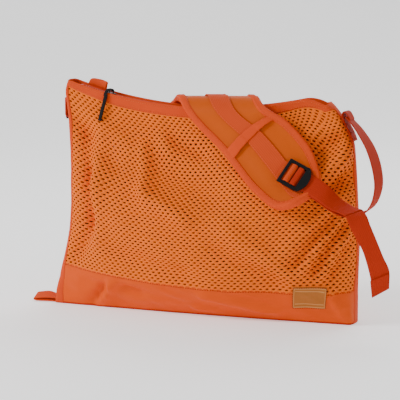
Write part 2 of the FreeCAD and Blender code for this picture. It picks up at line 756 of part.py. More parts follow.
def make_tail():
    thick = size("webbing_thickness")
    solid_part("tail_run", strip(TAIL_RUN, thick))
    solid_part("tail_end", strip(TAIL_END, thick))


# Left buckle: on the rear side of the top left corner, bars upright, x along the strap's pull.
BUCKLE_PLACE = Placement(Vector(-193.0, 22.5, 262.0), Rotation(Vector(1, 0, 0), 90))


def make_left_buckle():
    """A plain rectangular ring that joins the strap's rear webbing to its anchor."""
    body = new_body("left_buckle", BUCKLE_PLACE)
    outline = sketch_on(body, "XY_Plane", "ring_outline")
    add_rectangle(outline, "ring", Vector(0, 0, 0), "sizes.buckle_length", "sizes.buckle_width")
    pad(body, outline, "ring", "sizes.buckle_thickness", symmetric=True)
    window = sketch_on(body, "XY_Plane", "window_outline")
    inside = "sizes.buckle_{} - 2 * sizes.buckle_rail"
    add_rectangle(window, "window", Vector(0, 0, 0), inside.format("length"), inside.format("width"))
    pocket_through(body, window, "window")
    round_edges(body, "ring_round", 1.2, runs_along(Vector(0, 1, 0), 20.0))


def level_band(points, z, width):
    """Stations of an upright band that follows points (x, y) at one height."""
    return [(Vector(x, y, z - width / 2), Vector(x, y, z + width / 2)) for x, y in points]


def make_left_anchor():
    """Webbing sewn to the left end of the bag and folded round the buckle's outer bar."""
    thick = size("webbing_thickness")
    place = BUCKLE_PLACE.Base
    bar_x = place.x - (size("buckle_length") - size("buckle_rail")) / 2
    radius = size("buckle_thickness") / 2 + 0.35 + thick / 2
    path = [(-189.6, -9.0), (-189.8, -2.0), (-190.2, 5.0), (-193.5, 12.0), (-199.0, 16.5)]
    path += arc_points(bar_x, place.y, radius, 235, 60, 10)
    solid_part("strap_anchor_left", strip(level_band(path, place.z, 24.0), thick, ruled=True))


def make_rear_webbing():
    """Slack webbing from the buckle's inner bar down and across to the pad's rear end."""
    thick = size("webbing_thickness")
    place = BUCKLE_PLACE.Base
    bar_x = place.x + (size("buckle_length") - size("buckle_rail")) / 2
    radius = size("buckle_thickness") / 2 + 0.35 + thick / 2
    upright = Vector(0, 0, 1)
    turn = arc_points(bar_x, place.y, radius, 200, 400, 9)
    path = [(Vector(x, y, place.z), upright) for x, y in turn]
    path += [
        (Vector(-176, 29, 259), Vector(0.2, 0.05, 0.97)),
        (Vector(-163, 35, 250), Vector(0.4, 0.1, 0.9)),
        (Vector(-147, 42, 236), Vector(0.55, 0.1, 0.83)),
        (Vector(-129, 49, 219), Vector(0.6, 0.1, 0.8)),
        (Vector(-108, 55, 207), Vector(0.45, -0.1, 0.9)),
    ]
    solid_part("rear_webbing", strip(edge_stations(path, 24.0), thick, ruled=True))


def make_label():
    """Blank patch sewn to the front of the bag near its right end, over the seam."""
    left, low = 134.0, 21.5
    region = half_space(left, left + size("label_width"), -FAR, 0, low, low + size("label_height"))
    patch = closed_form(-size("label_thickness")).common(region).cut(OUTER)
    solid_part("label_patch", largest_solid(patch))


def folded_band(points, thickness, width):
    """Webbing of even width along y that follows points (x, z), pushed out from the plane y = 0."""
    path = [Vector(x, -width / 2, z) for x, z in points]
    last = len(path) - 1
    upper, lower = [], []
    for number, point in enumerate(path):
        along = (path[min(number + 1, last)] - path[max(number - 1, 0)]).normalize()
        normal = Vector(-along.z, 0, along.x) * (thickness / 2)
        upper.append(point + normal)
        lower.append(point - normal)
    outline = Part.makePolygon(upper + lower[::-1] + upper[:1])
    return Part.Face(outline).extrude(Vector(0, width, 0))


def spline_through(points):
    """Smooth edge through points (x, z) in the plane y = 0."""
    curve = Part.BSplineCurve()
    curve.interpolate([Vector(x, 0, z) for x, z in points])
    return curve.toShape()


def make_corner_loop():
    """A short folded tape that sticks out on the floor from the lower left corner."""
    outer = [(-203.4, 0.3), (-216, 0.2), (-230, 0.3), (-240.5, 1.9), (-234, 4.8), (-220, 6.2), (-203.4, 5.8)]
    inner = [(-203.4, 1.8), (-216, 1.7), (-228, 1.8), (-235.5, 2.5), (-230, 3.8), (-219, 4.7), (-203.4, 4.3)]
    edges = [spline_through(outer), spline_through(inner)]
    for near, far in ((outer[0], inner[0]), (outer[-1], inner[-1])):
        edges.append(Part.makeLine(Vector(near[0], 0, near[1]), Vector(far[0], 0, far[1])))
    face = Part.Face(Part.Wire(Part.__sortEdges__(edges)))
    loop = face.extrude(Vector(0, -size("loop_width"), 0))
    solid_part("corner_loop", loop, Placement(Vector(0, -2.0, 0), Rotation()))


def check_parts():
    """Stop if anything failed to compute or a sub-part is not made of sound solids."""
    for item in doc.Objects:
        if "Invalid" in item.State or "Error" in item.State:
            raise RuntimeError(f"{item.Label} did not compute: {item.State}")
    for feature in parts:
        shape = feature.Shape
        if shape.isNull() or not shape.isValid() or not shape.Solids:
            raise RuntimeError(f"{feature.Label} is not a valid solid")
        if min(solid.Volume for solid in shape.Solids) <= 0:
            raise RuntimeError(f"{feature.Label} is inside out")


make_pad_half("front", PAD_FRONT, 0.50)
make_pad_half("rear", [(right, left) for left, right in PAD_REAR], 0.62)
make_ladder_lock()
make_lock_webbing()
make_load_strap()
make_tail()
make_left_buckle()
make_left_anchor()
make_rear_webbing()
make_label()
make_corner_loop()

doc.recompute()
check_parts()
os.makedirs("parts", exist_ok=True)
for feature in parts:
    feature.Shape.exportStep(f"parts/{feature.Label}.step")
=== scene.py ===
"""A soft orange mesh shoulder bag: open net sides, nylon base, zip top and padded strap."""

import math

import bpy
import numpy as np
from mathutils import Matrix, Vector, noise


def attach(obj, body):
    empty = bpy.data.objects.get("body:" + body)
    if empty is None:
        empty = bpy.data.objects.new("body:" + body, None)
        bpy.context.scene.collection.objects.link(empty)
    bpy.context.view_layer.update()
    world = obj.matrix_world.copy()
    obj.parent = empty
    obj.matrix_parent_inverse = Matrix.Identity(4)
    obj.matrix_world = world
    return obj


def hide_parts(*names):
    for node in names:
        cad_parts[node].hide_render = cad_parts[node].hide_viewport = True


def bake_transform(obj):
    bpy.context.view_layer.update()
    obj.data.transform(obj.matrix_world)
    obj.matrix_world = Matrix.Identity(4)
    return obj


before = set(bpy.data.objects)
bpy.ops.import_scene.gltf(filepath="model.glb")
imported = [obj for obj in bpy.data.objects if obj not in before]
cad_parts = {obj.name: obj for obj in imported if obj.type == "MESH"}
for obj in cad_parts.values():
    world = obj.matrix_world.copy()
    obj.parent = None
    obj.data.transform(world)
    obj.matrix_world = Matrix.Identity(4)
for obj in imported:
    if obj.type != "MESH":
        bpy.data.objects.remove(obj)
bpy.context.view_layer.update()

MM = 0.001


# ---- Materials ----


def new_material(name, colour, rough, sheen=0.0, coat=0.0):
    """A principled material whose plain values sit on its own sockets."""
    material = bpy.data.materials.new(name)
    material.use_nodes = True
    shader = material.node_tree.nodes["Principled BSDF"]
    shader.inputs["Base Color"].default_value = (*colour, 1.0)
    shader.inputs["Roughness"].default_value = rough
    shader.inputs["Sheen Weight"].default_value = sheen
    shader.inputs["Sheen Tint"].default_value = (*colour, 1.0)
    shader.inputs["Specular IOR Level"].default_value = 0.10 if sheen else 0.22
    shader.inputs["Sheen Roughness"].default_value = 0.4
    shader.inputs["Coat Weight"].default_value = coat
    shader.inputs["Coat Roughness"].default_value = 0.12
    return material, material.node_tree.nodes, material.node_tree.links, shader


def waves(nodes, links, coords, direction, period):
    """Bands of a given period in metres across a coordinate."""
    wave = nodes.new("ShaderNodeTexWave")
    wave.bands_direction = direction
    wave.inputs["Scale"].default_value = 2 * math.pi / (20 * period)
    wave.inputs["Detail"].default_value = 1.0
    links.new(coords, wave.inputs["Vector"])
    return wave.outputs["Fac"]


def mixed(nodes, links, kind, first, second):
    """One of Blender's maths operations on two outputs or an output and a number."""
    node = nodes.new("ShaderNodeMath")
    node.operation = kind
    links.new(first, node.inputs[0])
    if isinstance(second, float):
        node.inputs[1].default_value = second
    else:
        links.new(second, node.inputs[1])
    return node.outputs[0]


def tinted(nodes, links, shader, colour, factor):
    """Base colour that runs from a darker to a lighter tone of one colour."""
    ramp = nodes.new("ShaderNodeValToRGB")
    for element, tone in zip(ramp.color_ramp.elements, (0.80, 1.16)):
        element.color = (*[min(c * tone, 1.0) for c in colour], 1.0)
    links.new(factor, ramp.inputs["Fac"])
    links.new(ramp.outputs["Color"], shader.inputs["Base Color"])


def bumped(nodes, links, shader, height, strength, distance):
    """Fine relief from a height output, its depth in metres."""
    bump = nodes.new("ShaderNodeBump")
    bump.inputs["Strength"].default_value = strength
    bump.inputs["Distance"].default_value = distance
    links.new(height, bump.inputs["Height"])
    links.new(bump.outputs["Normal"], shader.inputs["Normal"])


def cloth_material(name, colour, rough, sheen, warp, weft, depth):
    """Woven cloth with faint uneven dye and fading; without a warp period it is ribbed one way."""
    material, nodes, links, shader = new_material(name, colour, rough, sheen)
    coords = nodes.new("ShaderNodeTexCoord")
    weave = waves(nodes, links, coords.outputs["UV"], "Y", weft)
    if warp:
        across = waves(nodes, links, coords.outputs["UV"], "X", warp)
        weave = mixed(nodes, links, "MULTIPLY", across, weave)
    patches = nodes.new("ShaderNodeTexNoise")
    patches.inputs["Scale"].default_value = 24.0
    patches.inputs["Detail"].default_value = 5.0
    links.new(coords.outputs["Object"], patches.inputs["Vector"])
    faded = mixed(nodes, links, "MULTIPLY", patches.outputs["Fac"], 0.35)
    threads = mixed(nodes, links, "MULTIPLY", weave, 0.55)
    tinted(nodes, links, shader, colour, mixed(nodes, links, "ADD", faded, threads))
    bumped(nodes, links, shader, weave, 0.5, depth)
    return material


def painted_hole_shade(material, colour, half_wide, half_tall, across, up):
    """Paint shade into a net's colour over the pit round each hole, where the dark inside shows; the UV map
    runs along the rows of holes.
    """
    nodes, links = material.node_tree.nodes, material.node_tree.links
    shader = nodes["Principled BSDF"]
    knit = shader.inputs["Base Color"].links[0].from_socket
    split = nodes.new("ShaderNodeSeparateXYZ")
    links.new(nodes.new("ShaderNodeUVMap").outputs["UV"], split.inputs["Vector"])
    along = mixed(nodes, links, "MULTIPLY", split.outputs["X"], across / NET_WIDE)
    rows = mixed(nodes, links, "MULTIPLY", split.outputs["Y"], up / NET_TALL)
    odd = mixed(nodes, links, "MODULO", mixed(nodes, links, "FLOOR", rows, 0.0), 2.0)
    shifted = mixed(nodes, links, "SUBTRACT", along, mixed(nodes, links, "MULTIPLY", odd, 0.5))
    offsets = []
    for place, half in ((shifted, half_wide), (rows, half_tall)):
        off = mixed(nodes, links, "SUBTRACT", mixed(nodes, links, "FRACT", place, 0.0), 0.5)
        offsets.append(mixed(nodes, links, "POWER", mixed(nodes, links, "ABSOLUTE", off, 0.0), 2.0))
        offsets[-1] = mixed(nodes, links, "DIVIDE", offsets[-1], half**2)
    # Inside this ellipse round each hole, the knit's colour gives way to painted shade.
    inside = mixed(nodes, links, "LESS_THAN", mixed(nodes, links, "ADD", *offsets), 1.0)
    mix = nodes.new("ShaderNodeMix")
    mix.data_type = "RGBA"
    links.new(inside, mix.inputs["Factor"])
    links.new(knit, mix.inputs["A"])
    mix.inputs["B"].default_value = (*colour, 1.0)
    links.new(mix.outputs["Result"], shader.inputs["Base Color"])


def plastic_material(name, colour, rough, coat):
    """Moulded plastic with a faint grain and small scuffs in its gloss."""
    material, nodes, links, shader = new_material(name, colour, rough, coat=coat)
    coords = nodes.new("ShaderNodeTexCoord")
    grain = nodes.new("ShaderNodeTexNoise")
    grain.inputs["Scale"].default_value = 900.0
    links.new(coords.outputs["Object"], grain.inputs["Vector"])
    bumped(nodes, links, shader, grain.outputs["Fac"], 0.12, 0.0002)
    scuffs = nodes.new("ShaderNodeTexNoise")
    scuffs.inputs["Scale"].default_value = 120.0
    scuffs.inputs["Detail"].default_value = 8.0
    links.new(coords.outputs["Object"], scuffs.inputs["Vector"])
    spread = nodes.new("ShaderNodeMapRange")
    spread.inputs["To Min"].default_value = rough * 0.7
    spread.inputs["To Max"].default_value = rough * 1.5
    links.new(scuffs.outputs["Fac"], spread.inputs["Value"])
    links.new(spread.outputs["Result"], shader.inputs["Roughness"])
    return material


# Flat size of a net panel in metres, which its UV map covers.
NET_WIDE, NET_TALL = 0.445, 0.235
# Holes of the rear net: how many along a row, and how many rows.
REAR_HOLES = (58, 66)
NET_COLOUR = (0.98, 0.165, 0.006)
# Painted shade: the dark colour of the nets' inside faces and of the pits round the rear net's holes.
PAINTED_SHADE_COLOUR = (0.26, 0.018, 0.002)

NET = cloth_material("net_knit", NET_COLOUR, 0.66, 0.12, 0.0008, 0.0006, 0.0003)
NET_REAR = cloth_material("net_knit_rear", NET_COLOUR, 0.66, 0.12, 0.0008, 0.0006, 0.0003)
# The rear net's real holes are small; painted shade fills a wider ellipse round each one.
painted_hole_shade(NET_REAR, PAINTED_SHADE_COLOUR, 0.23, 0.32, *REAR_HOLES)
# The nets' inside faces and hole rims take painted shade, not the knit's own colour.
NET_INSIDE_SHADE = cloth_material("net_inside_painted_shade", PAINTED_SHADE_COLOUR, 0.80, 0.05, 0.0008, 0.0006, 0.0003)
NYLON = cloth_material("base_nylon", (0.73, 0.083, 0.0015), 0.50, 0.10, 0.0007, 0.0007, 0.00012)
TAPE = cloth_material("grosgrain_tape", (0.64, 0.060, 0.008), 0.66, 0.12, None, 0.0013, 0.0004)
# Strap webbing: its own dark red, darkened further as painted shade of the backlit straps.
WEBBING = cloth_material("strap_webbing_painted_shade", (0.43, 0.024, 0.004), 0.66, 0.10, 0.0024, 0.0011, 0.0005)
PALE_WEBBING = cloth_material("pad_webbing", (0.60, 0.060, 0.009), 0.66, 0.10, 0.0024, 0.0011, 0.0005)
SATIN = cloth_material("pad_satin", (0.56, 0.080, 0.0005), 0.55, 0.10, 0.0005, 0.0005, 0.00006)
THREAD = cloth_material("sewing_thread", (0.74, 0.13, 0.030), 0.70, 0.20, 0.0004, 0.0004, 0.0002)
RED_THREAD = cloth_material("dark_thread", (0.34, 0.025, 0.006), 0.70, 0.20, 0.0004, 0.0004, 0.0002)
ZIP_CLOTH = cloth_material("zip_cloth", (0.52, 0.045, 0.012), 0.65, 0.25, 0.0009, 0.0009, 0.0002)
PATCH = cloth_material("label_tan", (0.42, 0.140, 0.026), 0.55, 0.15, 0.0009, 0.0009, 0.0001)
PATCH_EDGE = cloth_material("label_edge", (0.58, 0.250, 0.075), 0.60, 0.15, 0.0009, 0.0009, 0.0001)
BLACK = plastic_material("black_moulding", (0.003, 0.003, 0.0034), 0.36, 0.0)
BLACK_CORD = cloth_material("black_cord", (0.014, 0.014, 0.015), 0.6, 0.1, None, 0.0009, 0.0003)
TEETH = plastic_material("zip_teeth_plastic", (0.55, 0.085, 0.030), 0.38, 0.2)


# ---- Mesh helpers ----


def link(obj):
    """Put an object in the scene."""
    bpy.context.scene.collection.objects.link(obj)
    return obj


def mesh_piece(name, points, faces, material, body, uv):
    """A smooth object from points in metres, carried by a body."""
    mesh = bpy.data.meshes.new(name)
    mesh.from_pydata([tuple(p) for p in np.asarray(points, float)], [], faces)
    layer = mesh.uv_layers.new(name="UVMap")
    corners = np.empty(len(mesh.loops), dtype=np.int32)
    mesh.loops.foreach_get("vertex_index", corners)
    layer.data.foreach_set("uv", np.asarray(uv, np.float32)[corners].ravel())
    mesh.materials.append(material)
    mesh.validate()
    mesh.polygons.foreach_set("use_smooth", [True] * len(mesh.polygons))
    obj = link(bpy.data.objects.new(name, mesh))
    if body:
        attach(obj, body)
    return obj


def unit(vectors):
    """The same directions with length one."""
    return vectors / np.maximum(np.linalg.norm(vectors, axis=-1, keepdims=True), 1e-12)


def paired(first, second):
    """Two values for each point of a grid, as its UV map takes them."""
    return np.stack(np.broadcast_arrays(first, second), axis=-1)


def run_length(points):
    """Length along a path at each of its points."""
    steps = np.linalg.norm(np.diff(points, axis=0), axis=1)
    return np.concatenate([[0], np.cumsum(steps)])


def sampled(where, along, rows):
    """Rows of values read off at places along a path."""
    return np.stack([np.interp(where, along, column) for column in rows.T], axis=-1)


def catmull_rom(a, b, c, d, t):
    """A point between b and c on the smooth curve through four points."""
    slope = c - a
    bend = 2 * a - 5 * b + 4 * c - d
    return 0.5 * (2 * b + slope * t + bend * t**2 + (3 * b - a - 3 * c + d) * t**3)


def smooth_path(points, count):
    """Points evenly spaced along a smooth curve through the given ones."""
    points = np.asarray(points, float)
    padded = np.vstack([2 * points[0] - points[1], points, 2 * points[-1] - points[-2]])
    fine = []
    for four in zip(padded, padded[1:], padded[2:], padded[3:]):
        fine += [catmull_rom(*four, t) for t in np.linspace(0, 1, 24, endpoint=False)]
    fine = np.array(fine + [points[-1]])
    along = run_length(fine[:, :3])
    return sampled(np.linspace(0, along[-1], count), along, fine)


def rounded_edge(distance, radius, least=0.0):
    """Height of a rounded edge, from 0 at the edge itself to 1 at a radius from it."""
    return np.sqrt(np.clip(1 - (1 - np.clip(distance / radius, 0, 1)) ** 2, least, 1))


def grid_faces(rows, columns, first=0, flip=False):
    """Four-sided faces of a grid of points, numbered from a first one."""
    faces = []
    for r in range(rows - 1):
        for c in range(columns - 1):
            a = first + r * columns + c
            quad = (a, a + 1, a + columns + 1, a + columns)
            faces.append(quad[::-1] if flip else quad)
    return faces


def slab(top, bottom, uv_top):
    """Points, faces and uv of a closed sheet between two grids of the same shape."""
    rows, columns, _ = top.shape
    half = rows * columns
    points = np.concatenate([top.reshape(-1, 3), bottom.reshape(-1, 3)])
    faces = grid_faces(rows, columns) + grid_faces(rows, columns, half, flip=True)
    rim = list(range(columns))
    rim += [r * columns + columns - 1 for r in range(1, rows)]
    rim += [(rows - 1) * columns + c for c in range(columns - 2, -1, -1)]
    rim += [r * columns for r in range(rows - 2, 0, -1)]
    for a, b in zip(rim, rim[1:] + rim[:1]):
        faces.append((b, a, a + half, b + half))
    uv = np.concatenate([uv_top.reshape(-1, 2)] * 2)
    return points, faces, uv


def ribbon_grids(left, right, thick, rows, columns=13, lift=0.0, crown=0.0, edge=None):
    """Top and bottom grids of a band between two edge paths, thin and rounded at its edges."""
    path = smooth_path(np.hstack([np.asarray(left, float), np.asarray(right, float)]) * MM, rows)
    left, right = path[:, :3], path[:, 3:]
    middle = (left + right) / 2
    along = unit(np.gradient(middle, axis=0))
    normal = -unit(np.cross(right - left, along))
    width = np.linalg.norm(right - left, axis=1)
    share = np.sin(np.linspace(-np.pi / 2, np.pi / 2, columns))
    reach = edge if edge else thick * MM / 2
    inset = (1 - np.abs(share))[None, :] * width[:, None] / 2
    half = rounded_edge(inset, reach, 0.02) * thick * MM / 2
    base = middle[:, None] + (right - left)[:, None] * share[None, :, None] / 2
    raised = lift * MM + crown * MM * (1 - share[None, :] ** 2)
    top = base + normal[:, None] * (raised + half)[..., None]
    bottom = base + normal[:, None] * (raised - half)[..., None]
    length = run_length(middle)[:, None]
    uv = paired(share[None, :] * width[:, None] / 2, length)
    return top, bottom, uv


def ribbon(name, left, right, thick, material, slot, body, rows=40, **shape):
    """A band of webbing or tape as a closed mesh."""
    top, bottom, uv = ribbon_grids(left, right, thick, rows, **shape)
    points, faces, uv = slab(top, bottom, uv)
    return mesh_piece(name, points, faces, material, body, uv)


def tube(name, centres, normals, half_width, half_height, material, slot, body, sides=14, power=2.6):
    """A closed tube with a rounded-box section that follows a path, its width square to the normals."""
    along = unit(np.gradient(centres, axis=0))
    wide = unit(np.cross(normals, along))
    tall = unit(np.cross(along, wide))
    angles = np.linspace(0, 2 * np.pi, sides, endpoint=False)
    c, s = np.cos(angles), np.sin(angles)
    cx = np.sign(c) * np.abs(c) ** (2 / power) * half_width
    cy = np.sign(s) * np.abs(s) ** (2 / power) * half_height
    rings = centres[:, None] + wide[:, None] * cx[None, :, None] + tall[:, None] * cy[None, :, None]
    count = len(centres)
    points = list(rings.reshape(-1, 3)) + [centres[0], centres[-1]]
    length = run_length(centres)
    uv = paired(cx[None, :], length[:, None]).reshape(-1, 2)
    uv = np.vstack([uv, [[0, 0], [0, length[-1]]]])
    faces = []
    for r in range(count - 1):
        for k in range(sides):
            a, b = r * sides + k, r * sides + (k + 1) % sides
            faces.append((a, b, b + sides, a + sides))
    last = (count - 1) * sides
    for k in range(sides):
        faces.append((count * sides, (k + 1) % sides, k))
        faces.append((count * sides + 1, last + k, last + (k + 1) % sides))
    return mesh_piece(name, points, faces, material, body, uv)


# One thread of a stitch: share of its length, and how far it has risen out of the cloth.
THREAD_RISE = ((0.0, 0.0), (0.25, 1.0), (0.75, 1.0), (1.0, 0.0))


def thread_faces(first):
    """Faces of one closed thread of four rings with four corners each."""
    faces = []
    for ring in range(first, first + 12, 4):
        for corner in range(4):
            a, b = ring + corner, ring + (corner + 1) % 4
            faces.append((a, b, b + 4, a + 4))
    return faces + [(first + 3, first + 2, first + 1, first), tuple(range(first + 12, first + 16))]


def stitches(name, path, normals, material, body, stitch=0.0022, space=0.0011, thick=0.00035):
    """A row of short raised threads along a path of points in metres."""
    path = np.asarray(path, float)
    along = run_length(path)
    points, faces, uv = [], [], []
    for start in np.arange(0, along[-1] - stitch, stitch + space):
        faces += thread_faces(len(points))
        for share, rise in THREAD_RISE:
            where = start + share * stitch
            centre = sampled(where, along, path)
            normal = unit(sampled(where, along, normals))
            ahead = sampled(where + 1e-4, along, path) - centre
            side = unit(np.cross(ahead + 1e-9, normal)) * thick * (0.5 + 0.5 * rise)
            top = normal * thick * (0.15 + rise)
            base = -normal * thick * 0.6
            points += [centre + side + base, centre + side * 0.6 + top]
            points += [centre - side * 0.6 + top, centre - side + base]
            uv += [(0, where), (0.0003, where), (0.0006, where), (0.0009, where)]
    return mesh_piece(name, points, faces, material, body, uv)


# ---- The bag's surface ----

# Height, left end x, right end x, half depth at the left end, the right end and the middle, in mm.
LEVELS = np.array(
    [
        (-30, -207, 206, 17, 17, 20),
        (0, -207, 206, 17, 17, 20),
        (20, -205, 206, 18, 19, 40),
        (43, -200, 206, 18, 22, 59),
        (70, -193, 207, 17, 25, 69),
        (100, -187.5, 208, 16, 26, 72),
        (140, -184.5, 206, 15.5, 25, 69),
        (175, -184.5, 204, 15, 23, 56),
        (205, -185, 202, 14, 20, 36.5),
        (228, -186, 200, 13.5, 17, 20),
        (243, -187, 195, 13.2, 15, 15.2),
        (258, -187.5, 187, 13, 13.2, 14),
        (274, -189, 174, 12.8, 12.9, 13.6),
        (288, -191, 158, 12.7, 12.7, 13.4),
        (304, -183, 134, 12.6, 12.6, 13.2),
        (330, -176, 100, 12.6, 12.6, 13.2),
    ]
)
HEIGHTS = np.arange(-4.0, 308.0, 2.0)
SHARES = np.linspace(0, 1, 241)
# The zip's arc: x and height of its centre, and its radius to the open top's edge, in mm.
ARC_X, ARC_Z, ARC_RADIUS = 8.0, 869.0, 600.0
# The seam above the base: x and height of its low point, and its radius.
SEAM_X, SEAM_Z, SEAM_RADIUS = 90.0, 41.5, 2600.0


def level_columns():
    """The level table at every millimetre, its corners softened."""
    fine = np.arange(-30.0, 331.0)
    kernel = np.exp(-0.5 * (np.arange(-18, 19) / 6.0) ** 2)
    kernel /= kernel.sum()
    columns = []
    for k in range(1, 6):
        padded = np.pad(np.interp(fine, LEVELS[:, 0], LEVELS[:, k]), 18, mode="edge")
        columns.append(np.interp(HEIGHTS, fine, np.convolve(padded, kernel, "valid")))
    return np.array(columns).T


def top_edge(x):
    """Height of the open top's edge: an arc that droops at its right end."""
    droop = 10.0 * np.clip((x - 132.0) / 28.0, 0, 1.2) ** 2
    return ARC_Z - np.sqrt(ARC_RADIUS**2 - (x - ARC_X) ** 2) - droop


def seam(x):
    """Height of the seam between the base bands and the nets."""
    return SEAM_Z + SEAM_RADIUS - np.sqrt(SEAM_RADIUS**2 - (x - SEAM_X) ** 2)


def band_low(x):
    """Lower edge of the top band, which narrows towards both ends."""
    ends = np.minimum((x + 188.0) / 75.0, (160.0 - x) / 75.0)
    return top_edge(x) - 8.5 - 6.0 * np.clip(ends, 0, 1) ** 0.8


def floor(x):
    """Height of the floor, as an edge curve."""
    return 0 * x


def shifted(curve, rise):
    """An edge curve that runs a rise in mm above another."""
    return lambda x: curve(x) + rise


def half_ring(height, left, right, left_deep, right_deep, middle_deep):
    """Front half of one level, from the middle of the left end to the middle of the right end."""
    round_share = np.interp(height, [0, 20, 80, 210, 260, 300], [0.22, 0.3, 0.85, 0.85, 0.4, 0.25])
    u = (1 - np.cos(np.linspace(0, np.pi, 900))) / 2
    x = left + (right - left) * u
    ends = left_deep * (1 - u) + right_deep * u
    ends *= rounded_edge(x - left, round_share * left_deep)
    ends *= rounded_edge(right - x, round_share * right_deep)
    bulge = (middle_deep - (left_deep + right_deep) / 2) * (1 - (2 * u - 1) ** 2)
    ring = np.stack([x, ends + bulge], axis=1)
    along = run_length(ring)
    return sampled(SHARES * along[-1], along, ring)


def hull_grid():
    """Points of the front half, by height and by share along the level; y is depth, positive."""
    grid = np.zeros((len(HEIGHTS), len(SHARES), 3))
    for row, (height, column) in enumerate(zip(HEIGHTS, level_columns())):
        grid[row, :, :2] = half_ring(height, *column)
        grid[row, :, 2] = height
    return grid


# Folds: start and end (x, z) in mm, width and rise of the ridge, negative for a valley.
FRONT_FOLDS = [
    ((-158, 224), (-149, 172), 9, -3.2),
    ((-149, 172), (-144, 117), 10, -5.0),
    ((-144, 117), (-166, 72), 9, -3.6),
    ((-137, 222), (-129, 160), 12, 3.2),
    ((-129, 160), (-129, 98), 14, 3.4),
    ((-72, 212), (-58, 160), 9, 3.6),
    ((-58, 160), (-4, 132), 10, 3.8),
    ((-48, 196), (20, 168), 24, -5.5),
    ((-115, 165), (-100, 130), 22, 3.0),
    ((204, 142), (162, 72), 6.0, -2.9),
    ((212, 124), (182, 66), 5.5, -2.6),
    ((191, 150), (140, 82), 6, -2.4),
    ((199, 146), (151, 76), 5.5, 3.0),
    ((208, 132), (172, 68), 5.5, 3.2),
    ((178, 150), (128, 96), 9, 2.2),
    ((168, 188), (206, 222), 10, 4.5),
    ((178, 174), (214, 196), 10, -6.0),
    ((150, 214), (190, 236), 9, -3.0),
    ((130, 232), (176, 250), 8, 2.6),
    ((-66, 262), (-40, 214), 10, 3.0),
    ((-52, 240), (4, 214), 10, -3.2),
    ((-150, 256), (-92, 214), 11, 2.4),
    ((-168, 240), (-110, 190), 9, -2.2),
    ((60, 120), (128, 70), 12, 2.6),
    ((40, 96), (110, 58), 10, -2.4),
    ((-90, 80), (-10, 62), 12, -2.4),
    ((-127, 28), (-150, 2), 6, -4.0),
    ((-116, 32), (-138, 4), 6, 3.6),
    ((-94, 32), (-8, 15), 5, -2.8),
    ((-60, 24), (30, 9), 5, 2.6),
    ((20, 32), (110, 14), 6, 2.4),
    ((180, 40), (202, 4), 6, 2.8),
]
REAR_FOLDS = [
    ((-150, 210), (-120, 90), 12, -4.5),
    ((-130, 220), (-100, 110), 13, 3.4),
    ((-20, 210), (40, 120), 20, -4.5),
    ((20, 220), (90, 130), 14, 3.2),
    ((150, 200), (190, 90), 10, -4.0),
    ((130, 200), (172, 80), 10, 3.2),
    ((-60, 90), (60, 66), 12, -2.6),
    ((90, 110), (150, 70), 9, 2.6),
    ((-150, 30), (-110, 6), 6, -2.0),
    ((-40, 26), (60, 12), 6, 1.8),
    ((120, 30), (180, 8), 6, -1.8),
]


# The nylon below this height in mm is creased more sharply than the net.
CREASED_BELOW = 44


def fold_rise(x, z, folds, seed):
    """How far the cloth stands out from the hull: its folds and a gentle unevenness."""
    rise = np.zeros_like(x)
    for (x0, z0), (x1, z1), width, amount in folds:
        dx, dz = x1 - x0, z1 - z0
        length = math.hypot(dx, dz)
        t = ((x - x0) * dx + (z - z0) * dz) / length**2
        off = np.abs((x - x0) * dz - (z - z0) * dx) / length
        beyond = np.maximum(np.maximum(-t, t - 1), 0) * length
        rise += 2.4 * amount * np.exp(-((off / width) ** 2) - (beyond / (1.6 * width)) ** 2)
    for place in np.ndindex(x.shape):
        at = Vector((x[place] * 0.016 + seed, z[place] * 0.022, seed))
        rise[place] += 2.2 * noise.noise(at) + 0.8 * noise.noise(at * 3.1)
        if z[place] < CREASED_BELOW:
            crease = Vector((x[place] * 0.030, z[place] * 0.075 + x[place] * 0.016, seed))
            rise[place] += 3.4 * (0.28 - abs(noise.noise(crease)))
    return rise


def cloth_grid(side, folds):
    """The hull's front or rear half with its folds; side is -1 for the front."""
    grid = hull_grid()
    along = np.gradient(grid, axis=1)
    up = np.gradient(grid, axis=0)
    normal = unit(np.cross(up, along))
    normal *= np.sign(normal[..., 1:2] + 1e-9)
    coarse = fold_rise(grid[::2, ::4, 0], grid[::2, ::4, 2], folds, 3.0 + side)
    rows = np.arange(len(HEIGHTS)) / 2
    columns = np.arange(len(SHARES)) / 4
    rise = bilinear(coarse[..., None], rows[:, None], columns[None, :])[..., 0]
    ends = np.clip(np.minimum(SHARES, 1 - SHARES) / 0.07, 0, 1)
    ends = ends * ends * (3 - 2 * ends)
    below_top = np.clip((top_edge(grid[..., 0]) - grid[..., 2] - 8) / 40, 0.06, 1)
    above_base = np.clip(grid[..., 2] / 16, 0, 1)
    grid += normal * (rise * ends[None, :] * below_top * above_base)[..., None]
    grid[..., 1] *= side
    normal[..., 1] *= side
    return grid * MM, normal


def bilinear(grid, rows, columns):
    """Values of a grid read off between its rows and columns."""
    rows, columns = np.broadcast_arrays(np.asarray(rows, float), np.asarray(columns, float))
    rows = np.clip(rows, 0, grid.shape[0] - 1.001)
    columns = np.clip(columns, 0, grid.shape[1] - 1.001)
    r, c = rows.astype(int), columns.astype(int)
    fr, fc = (rows - r)[..., None], (columns - c)[..., None]
    low = grid[r, c] * (1 - fc) + grid[r, c + 1] * fc
    high = grid[r + 1, c] * (1 - fc) + grid[r + 1, c + 1] * fc
    return low * (1 - fr) + high * fr


